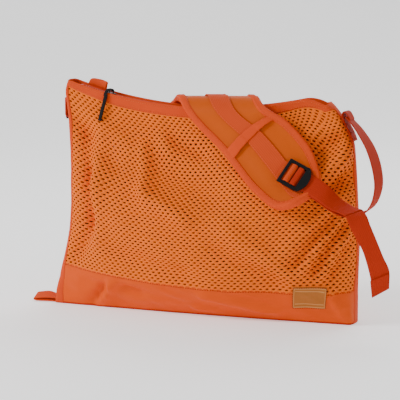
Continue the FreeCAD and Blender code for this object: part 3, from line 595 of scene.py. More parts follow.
class Side:
    """Front or rear cloth surface, addressed by share along the level and by height in mm."""

    def __init__(self, side, folds):
        self.side = side
        self.grid, self.normal = cloth_grid(side, folds)

    def at(self, share, height, out=0.0):
        """Points in metres that lie a little out from the surface, and its normals there."""
        rows = (np.asarray(height, float) - HEIGHTS[0]) / (HEIGHTS[1] - HEIGHTS[0])
        columns = np.asarray(share, float) * (len(SHARES) - 1)
        place = bilinear(self.grid, rows, columns)
        normal = unit(bilinear(self.normal, rows, columns))
        return place + normal * np.asarray(out, float)[..., None] * MM, normal

    def between(self, share, part, low, high, out=0.0):
        """Points at a part of the way from one edge curve to another, both functions of x in mm."""
        height = np.full(np.broadcast(share, part).shape, 150.0)
        for _ in range(6):
            x = self.at(share, height)[0][..., 0] / MM
            height = low(x) + (high(x) - low(x)) * part
        return self.at(share, height, out)


FRONT = Side(-1, FRONT_FOLDS)
REAR = Side(1, REAR_FOLDS)


# Length in metres that a band's UV map covers.
BAND_LENGTH = 0.43


def band(name, surface, low, high, rows, thick, out, material):
    """A strip of cloth on the bag between two edge curves, wrapped on the surface."""
    shares = np.linspace(0, 1, 150)[None, :]
    parts = np.linspace(0, 1, rows)[:, None]
    rounded = np.sqrt(np.clip(1 - (np.abs(2 * parts - 1)) ** 6, 0.03, 1))
    outer = surface.between(shares, parts, low, high, out + thick * rounded / 2)[0]
    inner = surface.between(shares, parts, low, high, out - thick * rounded / 2)[0]
    tall = float(np.linalg.norm(outer[-1, 0] - outer[0, 0]))
    uv = paired(parts * tall, shares * BAND_LENGTH)
    if surface.side > 0:
        outer, inner = inner, outer
    points, faces, uv = slab(outer, inner, uv)
    return mesh_piece(name, points, faces, material, "bag", uv)


# How far the knit stands out from the surface, in mm.
KNIT_OUT = 0.45


def net_cells(across, up, half_wide, half_tall, dimple):
    """Places (share, part, out) and faces of rows of holes, every other row half a hole along."""
    places, faces = [], []
    lines = np.zeros((up + 1, 2 * across + 1), int)
    sides = np.zeros((up, across + 2), int)

    def add(share, part, out=KNIT_OUT):
        places.append((share, part, out))
        return len(places) - 1

    def rim(row, start, left, right):
        """Points round one hole's cell, from its lower left corner."""
        low, high = lines[row, start : start + 3], lines[row + 1, start : start + 3]
        return [*low, sides[row, right], *high[::-1], sides[row, left]]

    for row, k in np.ndindex(lines.shape):
        lines[row, k] = add(k / (2 * across), row / up)
    for row in range(up):
        shift = row % 2
        middle = (row + 0.5) / up
        count = across - shift
        if shift:
            first = add(0, middle)
        for k in range(count + 1):
            sides[row, k] = add((k + shift / 2) / across, middle)
        if shift:
            last = add(1, middle)
            low, high = lines[row], lines[row + 1]
            faces.append((low[0], low[1], sides[row, 0], high[1], high[0], first))
            faces.append((low[-2], low[-1], last, high[-1], high[-2], sides[row, count]))
        for k in range(count):
            outer = rim(row, 2 * k + shift, k, k + 1)
            inner = []
            for angle in np.radians([-135, -90, -45, 0, 45, 90, 135, 180]):
                share = (k + 0.5 + shift / 2 + half_wide * math.cos(angle)) / across
                inner.append(add(share, middle + half_tall * math.sin(angle) / up, KNIT_OUT - dimple))
            for m in range(8):
                n = (m + 1) % 8
                faces.append((outer[m], outer[n], inner[n], inner[m]))
    return np.array(places), faces


def net(name, surface, material, half_wide, half_tall, across, up, thick, dimple):
    """A knitted net with its holes in dimples, sewn under the bands above and below it."""
    places, faces = net_cells(across, up, half_wide, half_tall, dimple)
    share, part, out = places.T
    low, high = shifted(seam, -3), shifted(band_low, 3)
    points = surface.between(share, part, low, high, out - thick / 2)[0]
    if surface.side > 0:
        faces = [face[::-1] for face in faces]
    uv = np.stack([share * NET_WIDE, part * NET_TALL], axis=1)
    obj = mesh_piece(name, points, faces, material, None, uv)
    # Second material: painted shade on the inside faces and the rims of the holes.
    obj.data.materials.append(NET_INSIDE_SHADE)
    thicken(obj, thick * MM)
    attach(obj, "bag")
    return obj


def thicken(obj, thickness):
    """Give a thin surface its thickness, with the second material, painted shade, on its inside faces and
    the rims of its holes.
    """
    solidify = obj.modifiers.new("thickness", "SOLIDIFY")
    solidify.thickness = thickness
    solidify.offset = 0.0
    solidify.material_offset = 1
    solidify.material_offset_rim = 1
    apply_modifiers(obj)


def apply_modifiers(obj):
    """Bake the object's modifiers into its mesh."""
    graph = bpy.context.evaluated_depsgraph_get()
    baked = bpy.data.meshes.new_from_object(obj.evaluated_get(graph))
    obj.modifiers.clear()
    obj.data = baked
    baked.polygons.foreach_set("use_smooth", [True] * len(baked.polygons))


# Half width and half height of a hole as shares of its cell, holes across and up, thickness and dimple.
NETS = (
    ("front", FRONT, NET, (0.235, 0.32, 54, 62, 1.2, 0.6)),
    ("rear", REAR, NET_REAR, (0.13, 0.19, *REAR_HOLES, 2.4, 1.2)),
)
for part, surface, knit, holes in NETS:
    net_piece = net(f"net_{part}", surface, knit, *holes)
    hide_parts(f"mesh_panel_{part}")
    base = band(f"base_{part}", surface, shifted(floor, 1.2), seam, 22, 1.3, 0.0, NYLON)
    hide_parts(f"base_band_{part}")
    rim = shifted(top_edge, -0.2)
    tape = band(f"top_tape_{part}", surface, band_low, rim, 9, 1.8, 0.2, TAPE)
    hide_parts(f"top_band_{part}")


# Length of the bag's half ring, from one end to the other, in mm.
HALF_ROUND = 440


def end_strip(side, end_share, widths, low, high):
    """The tape that closes one end of the bag from the floor to the top."""
    heights = np.linspace(low, high, 90)
    reach = np.interp(heights, *np.array(widths, float).T)[:, None]
    count = 15
    front_share = np.abs(end_share - np.linspace(0, 1, count)[None, :] * reach / HALF_ROUND)
    ridge = 0.5 + 0.8 * np.sqrt(np.clip(1 - np.linspace(0, 1, count) ** 6, 0.03, 1))
    front, normal_front = FRONT.at(front_share, heights[:, None], ridge[None, :])
    rear, normal_rear = REAR.at(front_share, heights[:, None], ridge[None, :])
    front[:, 0, 1] = 0
    outer = np.concatenate([front[:, ::-1], rear[:, 1:]], axis=1)
    depth = np.concatenate([ridge[::-1], ridge[1:]])
    normals = np.concatenate([normal_front[:, ::-1], normal_rear[:, 1:]], axis=1)
    inner = outer - normals * (depth[None, :, None] + 0.3) * MM
    inner[:, count - 1, 1] = 0
    across = np.linspace(-1, 1, 2 * count - 1)[None, :] * reach * MM
    uv = paired(across, (heights * MM)[:, None])
    if end_share > 0.5:
        outer, inner = inner, outer
    points, faces, uv = slab(outer, inner, uv)
    obj = mesh_piece(f"binding_{side}", points, faces, TAPE, "bag", uv)
    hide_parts(f"side_binding_{side}")


# Height and half width of each end's tape, in mm.
LEFT_WIDTHS = [(0, 29), (45, 27), (90, 18), (200, 17), (250, 18), (300, 19)]
RIGHT_WIDTHS = [(0, 11), (45, 10), (75, 6), (240, 6), (290, 10)]
end_strip("left", 0.0, LEFT_WIDTHS, 0.6, 299.5)
end_strip("right", 1.0, RIGHT_WIDTHS, 0.6, 278.5)


def base_floor():
    """The bag's flat underside, its rim turned up to meet the base bands."""
    shares = np.linspace(0, 1, 150)
    front = FRONT.at(shares, np.full(150, 1.4), -0.2)[0]
    rear = REAR.at(shares, np.full(150, 1.4), -0.2)[0]
    parts = np.linspace(0, 1, 15)[:, None, None]
    lower = front[None] * (1 - parts) + rear[None] * parts
    across = (2 * parts[..., 0] - 1) ** 2
    lower[..., 2] = 0.0003 + 0.0012 * across**4
    upper = lower.copy()
    upper[..., 2] += 0.0013
    points, faces, uv = slab(upper, lower, lower[..., :2])
    obj = mesh_piece("base_floor", points, [face[::-1] for face in faces], NYLON, "bag", uv)
    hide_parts("base_panel")


base_floor()


# ---- Zip ----


def zip_point(x, y, depth):
    """A point at a depth below the top edge along the arc's radius, given in mm, as metres."""
    angle = math.asin((ARC_X - x) / ARC_RADIUS)
    radius = ARC_RADIUS + depth
    return np.array([ARC_X - radius * math.sin(angle), y, ARC_Z - radius * math.cos(angle)]) * MM


def zip_tape(part, side):
    """One half of the zip's cloth with its row of stitches; side is -1 for the front."""
    stations = np.linspace(-172, 138, 80)
    inner_edge = np.array([zip_point(x, side * 3.7, 3.95) for x in stations]) / MM
    outer_edge = np.array([zip_point(x, side * 11.4, 3.3) for x in stations]) / MM
    edges = (outer_edge, inner_edge) if side < 0 else (inner_edge, outer_edge)
    tape = ribbon(f"zip_cloth_{part}", *edges, 0.9, ZIP_CLOTH, "zip_tape", "bag", rows=90, columns=7)
    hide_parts(f"zip_tape_{part}")
    path = np.array([zip_point(x, side * 5.4, 3.4) for x in stations])
    up = np.tile([0.0, 0.0, 1.0], (80, 1))
    stitches(f"zip_stitch_{part}", path, up, RED_THREAD, "bag", 0.0024, 0.0012, 0.0003)


zip_tape("front", -1)
zip_tape("rear", 1)

# Place along the zip and height of the end tab's upper edge, in mm.
TAB = [(-161, 2.4), (-160.5, 7.0), (-157, 10.4), (-146, 12.0), (-136.4, 11.4), (-135.4, 9.0), (-137.5, 4.0)]


def end_tab():
    """A doubled tape that stands up at the zip's left end."""
    lower = np.array([zip_point(x, 0.6 * math.sin(x / 4.0), -0.8) / MM for x, rise in TAB])
    upper = np.array([zip_point(x, 1.2 * math.sin(x / 5.0), -rise) / MM for x, rise in TAB])
    tab = ribbon("end_tab", lower, upper, 3.4, TAPE, "grosgrain", "bag", rows=44, columns=21, crown=0.7)
    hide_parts("zip_end_tab")


end_tab()


# The cord's route from the slider, in mm: along the zip, across it and up.
PULLER_X = -128
PULLER_PATH = [
    (1.5, 0.6, 1.6), (1.2, -2.5, 3.6), (0.4, -8.0, 4.0), (-0.6, -13.0, 2.9), (-1.0, -16.2, -0.6),
    (-1.2, -17.0, -5.0),
]


def puller_cord():
    """A doubled cord from the slider's bridge over the band's edge to the grip."""
    x_axis = unit(zip_point(PULLER_X + 1, 0, 0) - zip_point(PULLER_X - 1, 0, 0))
    z_axis = np.cross(x_axis, [0.0, 1.0, 0.0])
    normals = np.tile(x_axis, (40, 1))
    radius = 0.0011
    for side, shift in (("left", -1.1), ("right", 1.1)):
        route = []
        for x, y, z in PULLER_PATH:
            route.append(zip_point(PULLER_X, y, 0) + (x_axis * (x + shift) + z_axis * z) * MM)
        name = f"puller_cord_{side}"
        centres = smooth_path(route, 40)
        skin = (BLACK_CORD, "black_plastic", "zip_puller")
        cord = tube(name, centres, normals, radius, radius, *skin, sides=10, power=2.0)
        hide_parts("zip_puller_cord")


puller_cord()


# ---- Shoulder strap ----

# Left edge and right edge of the pad, in mm, from its rear end over the crest to its front end.
PAD = [
    ((-112, 44, 226), (-44, 56, 186)),
    ((-96, 36, 246), (-14, 46, 208)),
    ((-72, 31, 258), (26, 32, 238)),
    ((-54, 25, 268), (52, 25, 266)),
    ((-42, 13, 277), (64, 13, 279.5)),
    ((-34, 0, 278.5), (72, 0, 280)),
    ((-26, -13, 277), (80, -13, 279.5)),
    ((-14, -25, 265), (90, -24.5, 271.5)),
    ((8, -32, 244), (103, -28.5, 264)),
    ((41, -41, 216.5), (124, -30, 253)),
    ((80, -57, 178), (152.5, -35, 224.5)),
    ((105.5, -65, 159.5), (167, -44, 195)),
    ((119, -68.5, 154), (168.5, -50, 184)),
    ((129, -71, 154.5), (167, -54.5, 176.5)),
    ((139, -71.5, 158), (159, -60.5, 170)),
]


def split_pairs(pairs):
    """Two paths from a list of pairs: the first of each pair and the second of each."""
    return np.array(pairs, float).transpose(1, 0, 2)


def pad_edges(low, high):
    """Edge paths of a part of the pad's width."""
    left, right = split_pairs(PAD)
    return left + (right - left) * low, left + (right - left) * high


def bend_over_crest(obj):
    """Bake a piece of the pad's placement into its mesh."""
    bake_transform(obj)


def pad_cushion():
    """Foam between two layers of satin, sewn along the middle and the edges and blown out between."""
    left, right = pad_edges(0.035, 0.965)
    rows, columns = 84, 33
    top, bottom, uv = ribbon_grids(left, right, 6.4, rows, columns=columns, edge=0.006)
    points, faces, uv = slab(top, bottom, uv)
    obj = mesh_piece("pad_cushion", points, faces, SATIN, None, uv)
    puff(obj, rows, columns)
    apply_subdivision(obj)
    bend_over_crest(obj)
    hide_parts("pad_cushion_front", "pad_cushion_rear")


# Columns of the cushion from its middle out to each sewn row.
QUILT_STEP = 5
# Last frame of the cushion's cloth run.
PUFF_FRAMES = 20


def puff(obj, rows, columns):
    """Blow the cushion out as cloth, held where it is sewn, with its travel capped."""
    rest = np.array([v.co for v in obj.data.vertices])
    held = obj.vertex_groups.new(name="sewn")
    middle = columns // 2
    half = rows * columns
    for number in range(2 * half):
        row, column = divmod(number % half, columns)
        sewn = column <= 1 or column >= columns - 2 or abs(column - middle) == QUILT_STEP
        sewn = sewn or row in (0, rows - 1)
        held.add([number], 1.0 if sewn else 0.0, "REPLACE")
    cloth = obj.modifiers.new("cloth", "CLOTH")
    cloth.settings.quality = 5
    cloth.settings.mass = 0.2
    cloth.settings.tension_stiffness = 12
    cloth.settings.compression_stiffness = 12
    cloth.settings.bending_stiffness = 6.0
    cloth.settings.use_pressure = True
    cloth.settings.uniform_pressure_force = 4.0
    cloth.settings.effector_weights.gravity = 0.0
    cloth.settings.vertex_group_mass = "sewn"
    cloth.point_cache.frame_start = 1
    cloth.point_cache.frame_end = PUFF_FRAMES
    scene = bpy.context.scene
    for step in range(1, PUFF_FRAMES + 1):
        scene.frame_set(step)
    graph = bpy.context.evaluated_depsgraph_get()
    moved = obj.evaluated_get(graph).to_mesh()
    now = np.array([v.co for v in moved.vertices])
    obj.modifiers.clear()
    scene.frame_set(1)
    travel = now - rest
    reach = np.linalg.norm(travel, axis=1, keepdims=True)
    cap = np.where(np.arange(2 * half) < half, 0.0026, 0.0006)[:, None]
    travel *= np.minimum(1, cap / np.maximum(reach, 1e-9))
    obj.data.vertices.foreach_set("co", (rest + travel).ravel())
    obj.data.update()


def apply_subdivision(obj):
    """Smooth a mesh with one level of finer faces."""
    subdivision = obj.modifiers.new("smooth", "SUBSURF")
    subdivision.levels = 1
    subdivision.render_levels = 1
    apply_modifiers(obj)


def pad_edge_binding():
    """Tape folded round the pad, from its rear end down one edge and back up the other."""
    left, right = pad_edges(0.042, 0.958)
    middle = (left + right) / 2

    def end_turn(row, within):
        out = unit(middle[row] - middle[within])
        near, far = left[row] * 0.93 + right[row] * 0.07, left[row] * 0.07 + right[row] * 0.93
        return [near + out * 1.6, middle[row] + out * 2.2, far + out * 1.6]

    front_end, rear_end = end_turn(-1, -2), end_turn(0, 1)
    centres = np.vstack([rear_end[1::-1], left[1:-1], front_end, right[1:-1][::-1], rear_end[:0:-1]])
    ends = np.tile(middle[1], (2, 1)), np.tile(middle[-2], (3, 1))
    inside = np.vstack([ends[0], middle[1:-1], ends[1], middle[1:-1][::-1], ends[0]])
    path = smooth_path(np.hstack([centres, inside]) * MM, 300)
    centres, inside = path[:, :3], path[:, 3:]
    along = unit(np.gradient(centres, axis=0))
    normals = -unit(np.cross(inside - centres, along))
    piece = tube("pad_edge", centres, normals, 0.0050, 0.0049, TAPE, "grosgrain", None, sides=18, power=3.6)
    bend_over_crest(piece)
    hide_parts("pad_binding_front", "pad_binding_rear")
    inward = unit(inside - centres)
    line = centres + inward * 0.0034 + normals * 0.0050
    thread = stitches("pad_edge_stitch", line, normals, THREAD, None, 0.0023, 0.0012, 0.0003)
    bend_over_crest(thread)


def pad_top():
    """Centre webbing of the pad and its two rows of stitches."""
    edges = pad_edges(0.37, 0.63)
    centre = ribbon("pad_centre_webbing", *edges, 1.5, PALE_WEBBING, "grosgrain", None, rows=110, lift=4.5)
    bend_over_crest(centre)
    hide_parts("pad_webbing_front", "pad_webbing_rear")
    for side, share, sign in (("left", 0.385, -1), ("right", 0.615, 1)):
        path = smooth_path(np.hstack(pad_edges(share, 0.5)) * MM, 200)
        line, middle = path[:, :3], path[:, 3:]
        along = unit(np.gradient(line, axis=0))
        normals = unit(np.cross(middle - line, along)) * sign
        line = line + normals * 0.0053
        name = f"pad_stitch_{side}"
        thread = stitches(name, line, normals, THREAD, None, 0.0025, 0.0013, 0.0003)
        bend_over_crest(thread)


# Width of the bands across the pad, in mm.
CROSS_WIDTH = 15.0


def cross_band(part, left_place, right_place):
    """A tape sewn across the pad, from one place on its left edge to one on its right edge."""
    left, right = pad_edges(0.045, 0.955)
    path = smooth_path(np.hstack([left, right]), 481)
    step = np.linalg.norm(np.diff((path[:, :3] + path[:, 3:]) / 2, axis=0), axis=1).mean()
    stations = np.arange(len(left))
    start_at = sampled(left_place, stations, left)
    end_at = sampled(right_place, stations, right)
    start = np.argmin(np.linalg.norm(path[:, :3] - start_at, axis=1))
    end = np.argmin(np.linalg.norm(path[:, 3:] - end_at, axis=1))
    edges = []
    for side in (-0.5, 0.5):
        line = []
        for share in np.linspace(0, 1, 27):
            number = int(np.clip(start + (end - start) * share + side * CROSS_WIDTH / step, 1, 479))
            point = path[number]
            ahead = path[number + 1] - path[number - 1]
            normal = -unit(np.cross(point[3:] - point[:3], ahead[:3] + ahead[3:]))
            bow = 1 - abs(2 * share - 1) ** 6
            puffed = (2.0 if abs(share - 0.5) > 0.13 else 1.3) * (1 - abs(2 * share - 1) ** 3) * 0.7
            middle = point[:3] * (1 - share) + point[3:] * share
            line.append(middle + normal * (3.6 + bow * 1.6 + puffed))
        edges.append(np.array(line))
    name = f"pad_cross_{part}"
    piece = ribbon(name, edges[1], edges[0], 1.3, TAPE, "grosgrain", None, rows=60, columns=9)
    bend_over_crest(piece)
    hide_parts(f"cross_band_{part}")


pad_cushion()
pad_edge_binding()
pad_top()
cross_band("front", 9.2, 8.3)
cross_band("rear", 2, 2)


# ---- Ladder lock, load strap and free end ----


def lock_frame():
    """The ladder lock's own axes: x across the webbing, y along the pull, z outward."""
    y_axis = unit(np.array([0.90, -0.06, -0.43]))
    z_axis = unit(np.cross([-0.35, -0.50, -0.78], y_axis))
    return np.array([133.2, -55.9, 194.0]), np.cross(y_axis, z_axis), y_axis, z_axis


LOCK = lock_frame()
# Half the width of the shoulder webbing, in mm.
HALF_WEBBING = 12.4


def in_lock(route):
    """Edge points of a band through the lock, from its own (y, z) points, in mm."""
    origin, x_axis, y_axis, z_axis = LOCK
    y, z = np.array(route, float).T
    centres = origin + np.outer(y, y_axis) + np.outer(z, z_axis)
    return centres + x_axis * HALF_WEBBING, centres - x_axis * HALF_WEBBING


def arc(y, z, radius, start, end, steps=10):
    """Points on a part of a circle, its angles in degrees."""
    angles = np.radians(np.linspace(start, end, steps))
    return list(zip(y + radius * np.cos(angles), z + radius * np.sin(angles)))


def strap(name, edges, body, rows, node, material=WEBBING):
    """A length of webbing in place of a node; without a body it is left unattached."""
    piece = ribbon(name, *edges, 1.5, material, "webbing", body, rows=rows)
    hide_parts(node)
    return piece


def lock_bands():
    """The pad's loop round the fixed bar and the webbing's turn round the middle bar."""
    loop = [(-12.5, -1.25), (-8, -1.25), (-4, -1.25)] + arc(2.0, 2.0, 3.25, -90, 165, 14)
    loop += [(-1.5, 1.1), (-2.6, 0.45), (-4, 0.4), (-8, 0.4), (-12.5, 0.4)]
    strap("pad_loop", in_lock(loop), "ladder_lock", 90, "pad_end_loop", PALE_WEBBING)
    turn = [(17.4, -0.95), (14, -0.95), (12.45, -0.95)] + arc(10.05, 0.65, 1.6, -90, -180, 6)
    turn += arc(10.05, 3.35, 1.6, 180, 90, 6) + arc(12.75, 3.35, 1.6, 90, 0, 6)
    turn += [(14.35, 2.85), (14.95, 1.55), (16.5, 0.85), (17.4, 0.85)]
    strap("lock_turn", in_lock(turn), "ladder_lock", 80, "lock_webbing")


# Middle of the load strap from the lock to its anchor, in mm, and its direction across.
LOAD = [
    ((178, -61, 169), (0.33, 0.66, 0.67)),
    ((193, -64, 158), (0.24, 0.85, 0.47)),
    ((210, -64, 149.5), (0.10, 0.96, 0.26)),
    ((227, -60, 149), (0, 0.99, 0.10)),
    ((239, -53, 160), (0.08, 1, 0)),
    ((242.5, -42, 180), (0.18, 1, 0)),
    ((237, -30, 202), (0.24, 1, 0)),
    ((226, -18, 224), (0.22, 1, 0)),
    ((211, -8, 243), (0.12, 1, 0)),
    ((199, -2, 255), (0, 1, 0)),
    ((191.6, -0.4, 262.4), (0, 1, 0)),
]
# Ends of the stretches of webbing that bend beside the lock and beside the anchor, in metres.
LOCK_BEND = ((0.149, -0.057, 0.186), (0.206, -0.066, 0.152))
ANCHOR_BEND = ((0.199, -0.002, 0.262), (0.242, -0.045, 0.180))
# The load strap's two lengths meet at this point of its route, counted from the lock.
LOAD_SPLIT = 5


def load_strap():
    """Webbing from the lock out to the side, up and back over to its anchor."""
    middle, across = split_pairs(LOAD)
    across = unit(across) * HALF_WEBBING
    lock_left, lock_right = in_lock([(17.8, -0.95), (27, -1.1)])
    left = np.vstack([lock_left, middle - across])
    right = np.vstack([lock_right, middle + across])
    edges = smooth_path(np.hstack([left, right]), 220)
    turn = int(np.argmin(np.linalg.norm(edges[:, :3] - left[LOAD_SPLIT], axis=1)))
    for part, line, rows, ends in (
        ("lock", edges[: turn + 1 : 2], 60, ("ladder_lock", "strap_front", *LOCK_BEND)),
        ("side", edges[turn::2], 110, ("bag", "strap_front", *ANCHOR_BEND)),
    ):
        piece = strap(f"load_webbing_{part}", (line[:, :3], line[:, 3:]), None, rows, "load_strap")
        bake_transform(piece)


def right_anchor():
    """The strap's sewn root on the right end, folded over at the top."""
    path = [
        (201.6, 231), (200.0, 236), (197.4, 242), (192.8, 250), (188.8, 258),
        (187.6, 264), (189.0, 267.6), (192.6, 266.6), (195.6, 262), (197.6, 257.6),
    ]
    centres = np.array([(x, 0.0, z) for x, z in path])
    across = np.array([0.0, 11.5, 0.0])
    strap("anchor_right", (centres - across, centres + across), "bag", 70, "strap_anchor_right")
    for height in (234.0, 242.0):
        x = np.interp(height, [231, 236, 242], [202.6, 201.0, 198.6])
        line = np.array([(x + 0.1, y, height) for y in np.linspace(-9.5, 9.5, 12)]) * MM
        normals = np.tile([1.0, 0.0, 0.1], (12, 1))
        stitches(f"anchor_stitch_{int(height)}", line, normals, RED_THREAD, "bag")


# Edges of the free webbing, in mm: where it lies on the load strap, and where it hangs.
TAIL = [
    ((174.5, -72, 163.5), (183.5, -55, 180.5)),
    ((190.5, -76.5, 155), (197.5, -55, 166.5)),
    ((204, -80, 151), (214, -57, 157)),
    ((212, -83, 148.5), (229, -66, 154.5)),
]
TAIL_END = [
    ((212.6, -83.6, 148.0), (229.8, -66.8, 154.1)),
    ((216, -86, 142), (237, -75, 148)),
    ((219.5, -86.5, 134), (242.5, -80, 138)),
    ((227, -86, 121), (250, -81, 122)),
    ((235.5, -85, 105), (259, -80.5, 101)),
    ((244, -82.5, 74), (266, -78, 84)),
    ((245.5, -79, 50), (265.5, -75, 62)),
]


def tail():
    """The webbing's free end: it lies on the load strap, folds over its edge and hangs, hemmed."""
    start = in_lock([(17.8, 0.85), (27, 0.9)])
    edges = np.concatenate([start, split_pairs(TAIL)], axis=1)
    run = strap("tail_run_webbing", edges, None, 70, "tail_run")
    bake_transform(run)
    left, right = split_pairs(TAIL_END)
    end = strap("tail_webbing", (left, right), "strap_tail", 90, "tail_end")
    fold = np.array([(0, -1.5, -3), (0, -1.5, 1)])
    edges = left[-2:] + fold, right[-2:] + fold
    hem = ribbon("tail_hem", *edges, 1.4, WEBBING, "webbing", "strap_tail", rows=20)
    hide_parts("tail_end")
    across = np.linspace(0.08, 0.92, 12)[:, None]
    row = (left[-1] * (1 - across) + right[-1] * across + [0, -3.0, 15.0]) * MM
    normals = np.tile([0.0, -1.0, 0.1], (12, 1))
    stitches("hem_stitch", row, normals, RED_THREAD, "strap_tail")


lock_bands()
load_strap()
right_anchor()
tail()


# ---- Left end: anchor and rear webbing ----


# Height of the left ring's middle, in mm.
RING_Z = 262.0


def left_anchor():
    """Webbing sewn to the bag's left end and turned round the ring."""
    path = [(-189.8, -9), (-190.0, -2), (-190.6, 5), (-193.8, 12), (-199, 16.5)]
    path += arc(-202.1, 22.5, 2.9, 235, 60)
    centres = np.array([(x, y, RING_Z) for x, y in path])
    across = np.array([0.0, 0.0, 12.0])
    strap("anchor_left", (centres - across, centres + across), "bag", 60, "strap_anchor_left")


def rear_webbing():
    """Slack webbing from the ring to the pad's rear end."""
    path = [((x, y, RING_Z), (0, 0, 1)) for x, y in arc(-183.9, 22.5, 2.9, 200, 400)]
    path += [
        ((-176, 29, 259), (0.2, 0.05, 0.97)),
        ((-163, 35, 250), (0.4, 0.1, 0.9)),
        ((-147, 42, 236), (0.55, 0.1, 0.83)),
        ((-129, 49, 219), (0.6, 0.1, 0.8)),
        ((-108, 55, 207), (0.45, -0.1, 0.9)),
        ((-88, 52.5, 206), (0.5, -0.2, 0.85)),
    ]
    centres, sides = split_pairs(path)
    sides = unit(sides) * 12.0
    strap("rear_strap", (centres - sides, centres + sides), "bag", 110, "rear_webbing")


left_anchor()
rear_webbing()


# ---- Label and corner loop ----


def front_share_of(x, height):
    """Share along the level at which the bag's front has this x, in mm."""
    shares = np.linspace(0.02, 0.98, 300)
    xs = FRONT.at(shares, np.full(300, height))[0][:, 0] / MM
    return float(np.interp(x, xs, shares))


# The label's left, right, lower and upper edge, in mm.
LABEL_BOX = (134.0, 176.0, 21.5, 50.5)


def label():
    """A blank tan patch with a raised border and two pressed lines."""
    left, right, low, high = LABEL_BOX
    wide, tall = right - left, high - low
    start, end = front_share_of(left, 36), front_share_of(right, 36)
    u = np.linspace(0, 1, 85)[None, :]
    v = np.linspace(0, 1, 61)[:, None]
    edge = np.minimum(np.minimum(u, 1 - u) * wide, np.minimum(v, 1 - v) * tall)
    border = 0.75 * np.exp(-(((edge - 1.7) / 1.1) ** 2))
    turned = -1.0 * np.exp(-((edge / 0.55) ** 2))
    from_line = np.abs(np.abs(v - 0.5) - 0.3) * tall
    groove = -0.30 * np.exp(-((from_line / 0.7) ** 2)) * np.clip(edge - 3.0, 0, 1)
    share = start + (end - start) * u
    height = low + tall * v
    outer = FRONT.at(share, height, 1.5 + border + turned + groove)[0]
    inner = FRONT.at(share, height, 0.3 + 0 * edge)[0]
    uv = paired(u * wide * MM, v * tall * MM)
    points, faces, uv = slab(outer, inner, uv)
    obj = mesh_piece("blank_label", points, faces, PATCH, "bag", uv)
    obj.data.materials.append(PATCH_EDGE)
    lines = (np.abs(edge - 1.9) < 0.55) | ((edge > 3.4) & (from_line < 0.6))
    for number, woven in enumerate(lines[:-1, :-1].ravel()):
        obj.data.polygons[number].material_index = int(woven)
    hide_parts("label_patch")
    label_stitches(start, end, low, high)


def label_stitches(start, end, low, high):
    """Stitches along the label's four edges."""
    corners = [(0.018, 0.025), (0.982, 0.025), (0.982, 0.975), (0.018, 0.975), (0.018, 0.025)]
    line = []
    for (u0, v0), (u1, v1) in zip(corners, corners[1:]):
        for t in np.linspace(0, 1, 16, endpoint=False):
            line.append((u0 + (u1 - u0) * t, v0 + (v1 - v0) * t))
    u, v = np.array(line + [corners[-1]]).T
    path, normal = FRONT.at(start + (end - start) * u, low + (high - low) * v, 2.1)
    stitches("label_stitch", path, normal, RED_THREAD, "bag", 0.0020, 0.0009, 0.0004)


def corner_loop():
    """A folded tape that lies on the floor at the lower left corner."""
    path = [
        (-202.5, 5.0), (-210, 5.5), (-220, 5.5), (-230, 4.6), (-236.5, 3.4), (-238.2, 2.1), (-235, 1.15),
        (-228, 1.05), (-216, 1.0), (-202.5, 1.0),
    ]
    tilt = [6.5 * min((-202.5 - x) / 14.0, 1.0) for x, z in path]
    front = np.array([(x, -16.0 + 1.2 * math.sin(x / 7.0), z) for x, z in path])
    rear = np.array([(x, -2.0 + 1.2 * math.sin(x / 7.0), z + up) for (x, z), up in zip(path, tilt)])
    piece = ribbon("floor_loop", rear, front, 1.4, TAPE, "grosgrain", "bag", rows=70)
    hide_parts("corner_loop")


label()
corner_loop()


# ---- Seams ----


def seam_line(name, surface, curve, out, material):
    """Stitches along an edge curve of the bag."""
    shares = np.linspace(0.03, 0.97, 260)
    path, normal = surface.between(shares, 0.0 * shares, curve, curve, out)
    stitches(name, path, normal, material, "bag", thick=0.0003)


def floor_shade_cord(part, surface):
    """A thin dark cord along the edge between the floor and a base band, painted shade where the cloth
    turns under.
    """
    shares = np.linspace(0.01, 0.99, 200)
    path = surface.between(shares, 0.0 * shares, shifted(floor, 1.3), floor)[0]
    up = np.tile([0.0, 0.0, 1.0], (200, 1))
    # The dark webbing colour here is painted shade along the bottom edge.
    tube(f"floor_shade_cord_{part}", path, up, 0.0009, 0.0011, WEBBING, "grosgrain", "bag", sides=8, power=2.0)


for part, surface in (("front", FRONT), ("rear", REAR)):
    seam_line(f"base_seam_{part}", surface, shifted(seam, -1.6), 0.75, RED_THREAD)
    seam_line(f"band_seam_{part}", surface, shifted(band_low, 1.8), 1.15, THREAD)
    seam_line(f"rim_seam_{part}", surface, shifted(top_edge, -3.4), 1.2, THREAD)
    floor_shade_cord(part, surface)


# ---- Hard pieces keep the shapes of the frame ----


def paint(nodes, material):
    """Give pieces that keep their shapes from the frame one material."""
    for node in nodes:
        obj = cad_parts[node]
        obj.data.materials.clear()
        obj.data.materials.append(material)


paint(["ladder_lock", "left_buckle", "zip_slider", "zip_puller_grip"], BLACK)
paint(["zip_teeth_front", "zip_teeth_rear", "zip_stops"], TEETH)


# ---- Studio ----

# Direction of the camera from the bag, and its distance in metres.
AZIMUTH, ELEVATION = math.radians(20), math.radians(8)
DISTANCE = 2.0


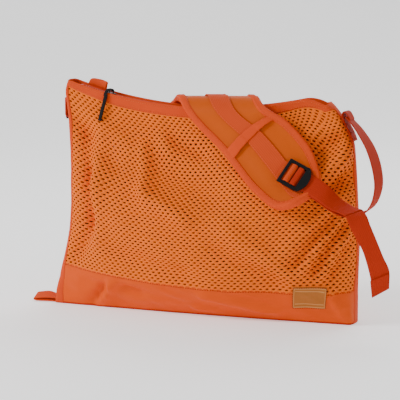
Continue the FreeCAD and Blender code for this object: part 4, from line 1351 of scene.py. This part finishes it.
def studio_floor():
    """A pale floor that curves up behind the bag."""
    wide, radius, behind = 9.0, 1.5, 2.0
    profile = [(-wide, 0.0), (behind, 0.0)]
    for angle in np.linspace(0.1, math.pi / 2, 14):
        profile.append((behind + radius * math.sin(angle), radius - radius * math.cos(angle)))
    profile.append((behind + radius, 5.0))
    turn = Matrix.Rotation(AZIMUTH, 3, "Z")
    points = [turn @ Vector((x, y, z)) for y, z in profile for x in (-wide, wide)]
    faces = [(2 * k, 2 * k + 1, 2 * k + 3, 2 * k + 2) for k in range(len(profile) - 1)]
    mesh = bpy.data.meshes.new("studio_floor")
    mesh.from_pydata([tuple(p) for p in points], [], faces)
    mesh.polygons.foreach_set("use_smooth", [True] * len(faces))
    material, _, _, shader = new_material("studio_white", (0.93, 0.93, 0.93), 0.75)
    shader.inputs["Emission Color"].default_value = (1.0, 1.0, 1.0, 1.0)
    shader.inputs["Emission Strength"].default_value = 0.42
    mesh.materials.append(material)
    link(bpy.data.objects.new("studio_floor", mesh))


def lamp(name, place, width, power):
    """A square lamp aimed at the bag's middle."""
    light = bpy.data.lights.new(name, "AREA")
    light.shape = "SQUARE"
    light.size = width
    light.energy = power
    obj = link(bpy.data.objects.new(name, light))
    obj.location = place
    aim = Vector((0, 0, 0.15)) - Vector(place)
    obj.rotation_euler = aim.to_track_quat("-Z", "Y").to_euler()


def sky(strength):
    """An even white sky."""
    world = bpy.data.worlds.new("studio_sky")
    world.use_nodes = True
    background = world.node_tree.nodes["Background"]
    background.inputs["Color"].default_value = (1.0, 1.0, 1.0, 1.0)
    background.inputs["Strength"].default_value = strength
    bpy.context.scene.world = world


def camera():
    """Long lens from the front right, a little above the bag's middle."""
    level = math.cos(ELEVATION)
    away = Vector((math.sin(AZIMUTH) * level, -math.cos(AZIMUTH) * level, math.sin(ELEVATION)))
    right = Vector((math.cos(AZIMUTH), math.sin(AZIMUTH), 0))
    target = Vector((0, 0, 0.147)) - right * 0.0039
    lens = bpy.data.cameras.new("camera")
    lens.sensor_width = 36.0
    lens.lens = 138.5
    obj = link(bpy.data.objects.new("camera", lens))
    obj.location = target + away * DISTANCE
    obj.rotation_euler = (-away).to_track_quat("-Z", "Y").to_euler()
    bpy.context.scene.camera = obj


studio_floor()
lamp("key", (-1.8, -1.2, 1.6), 0.7, 50)
lamp("fill", (1.9, -1.3, 1.1), 1.6, 6)
lamp("rim", (0.3, 1.6, 1.8), 1.4, 22)
sky(0.62)
camera()
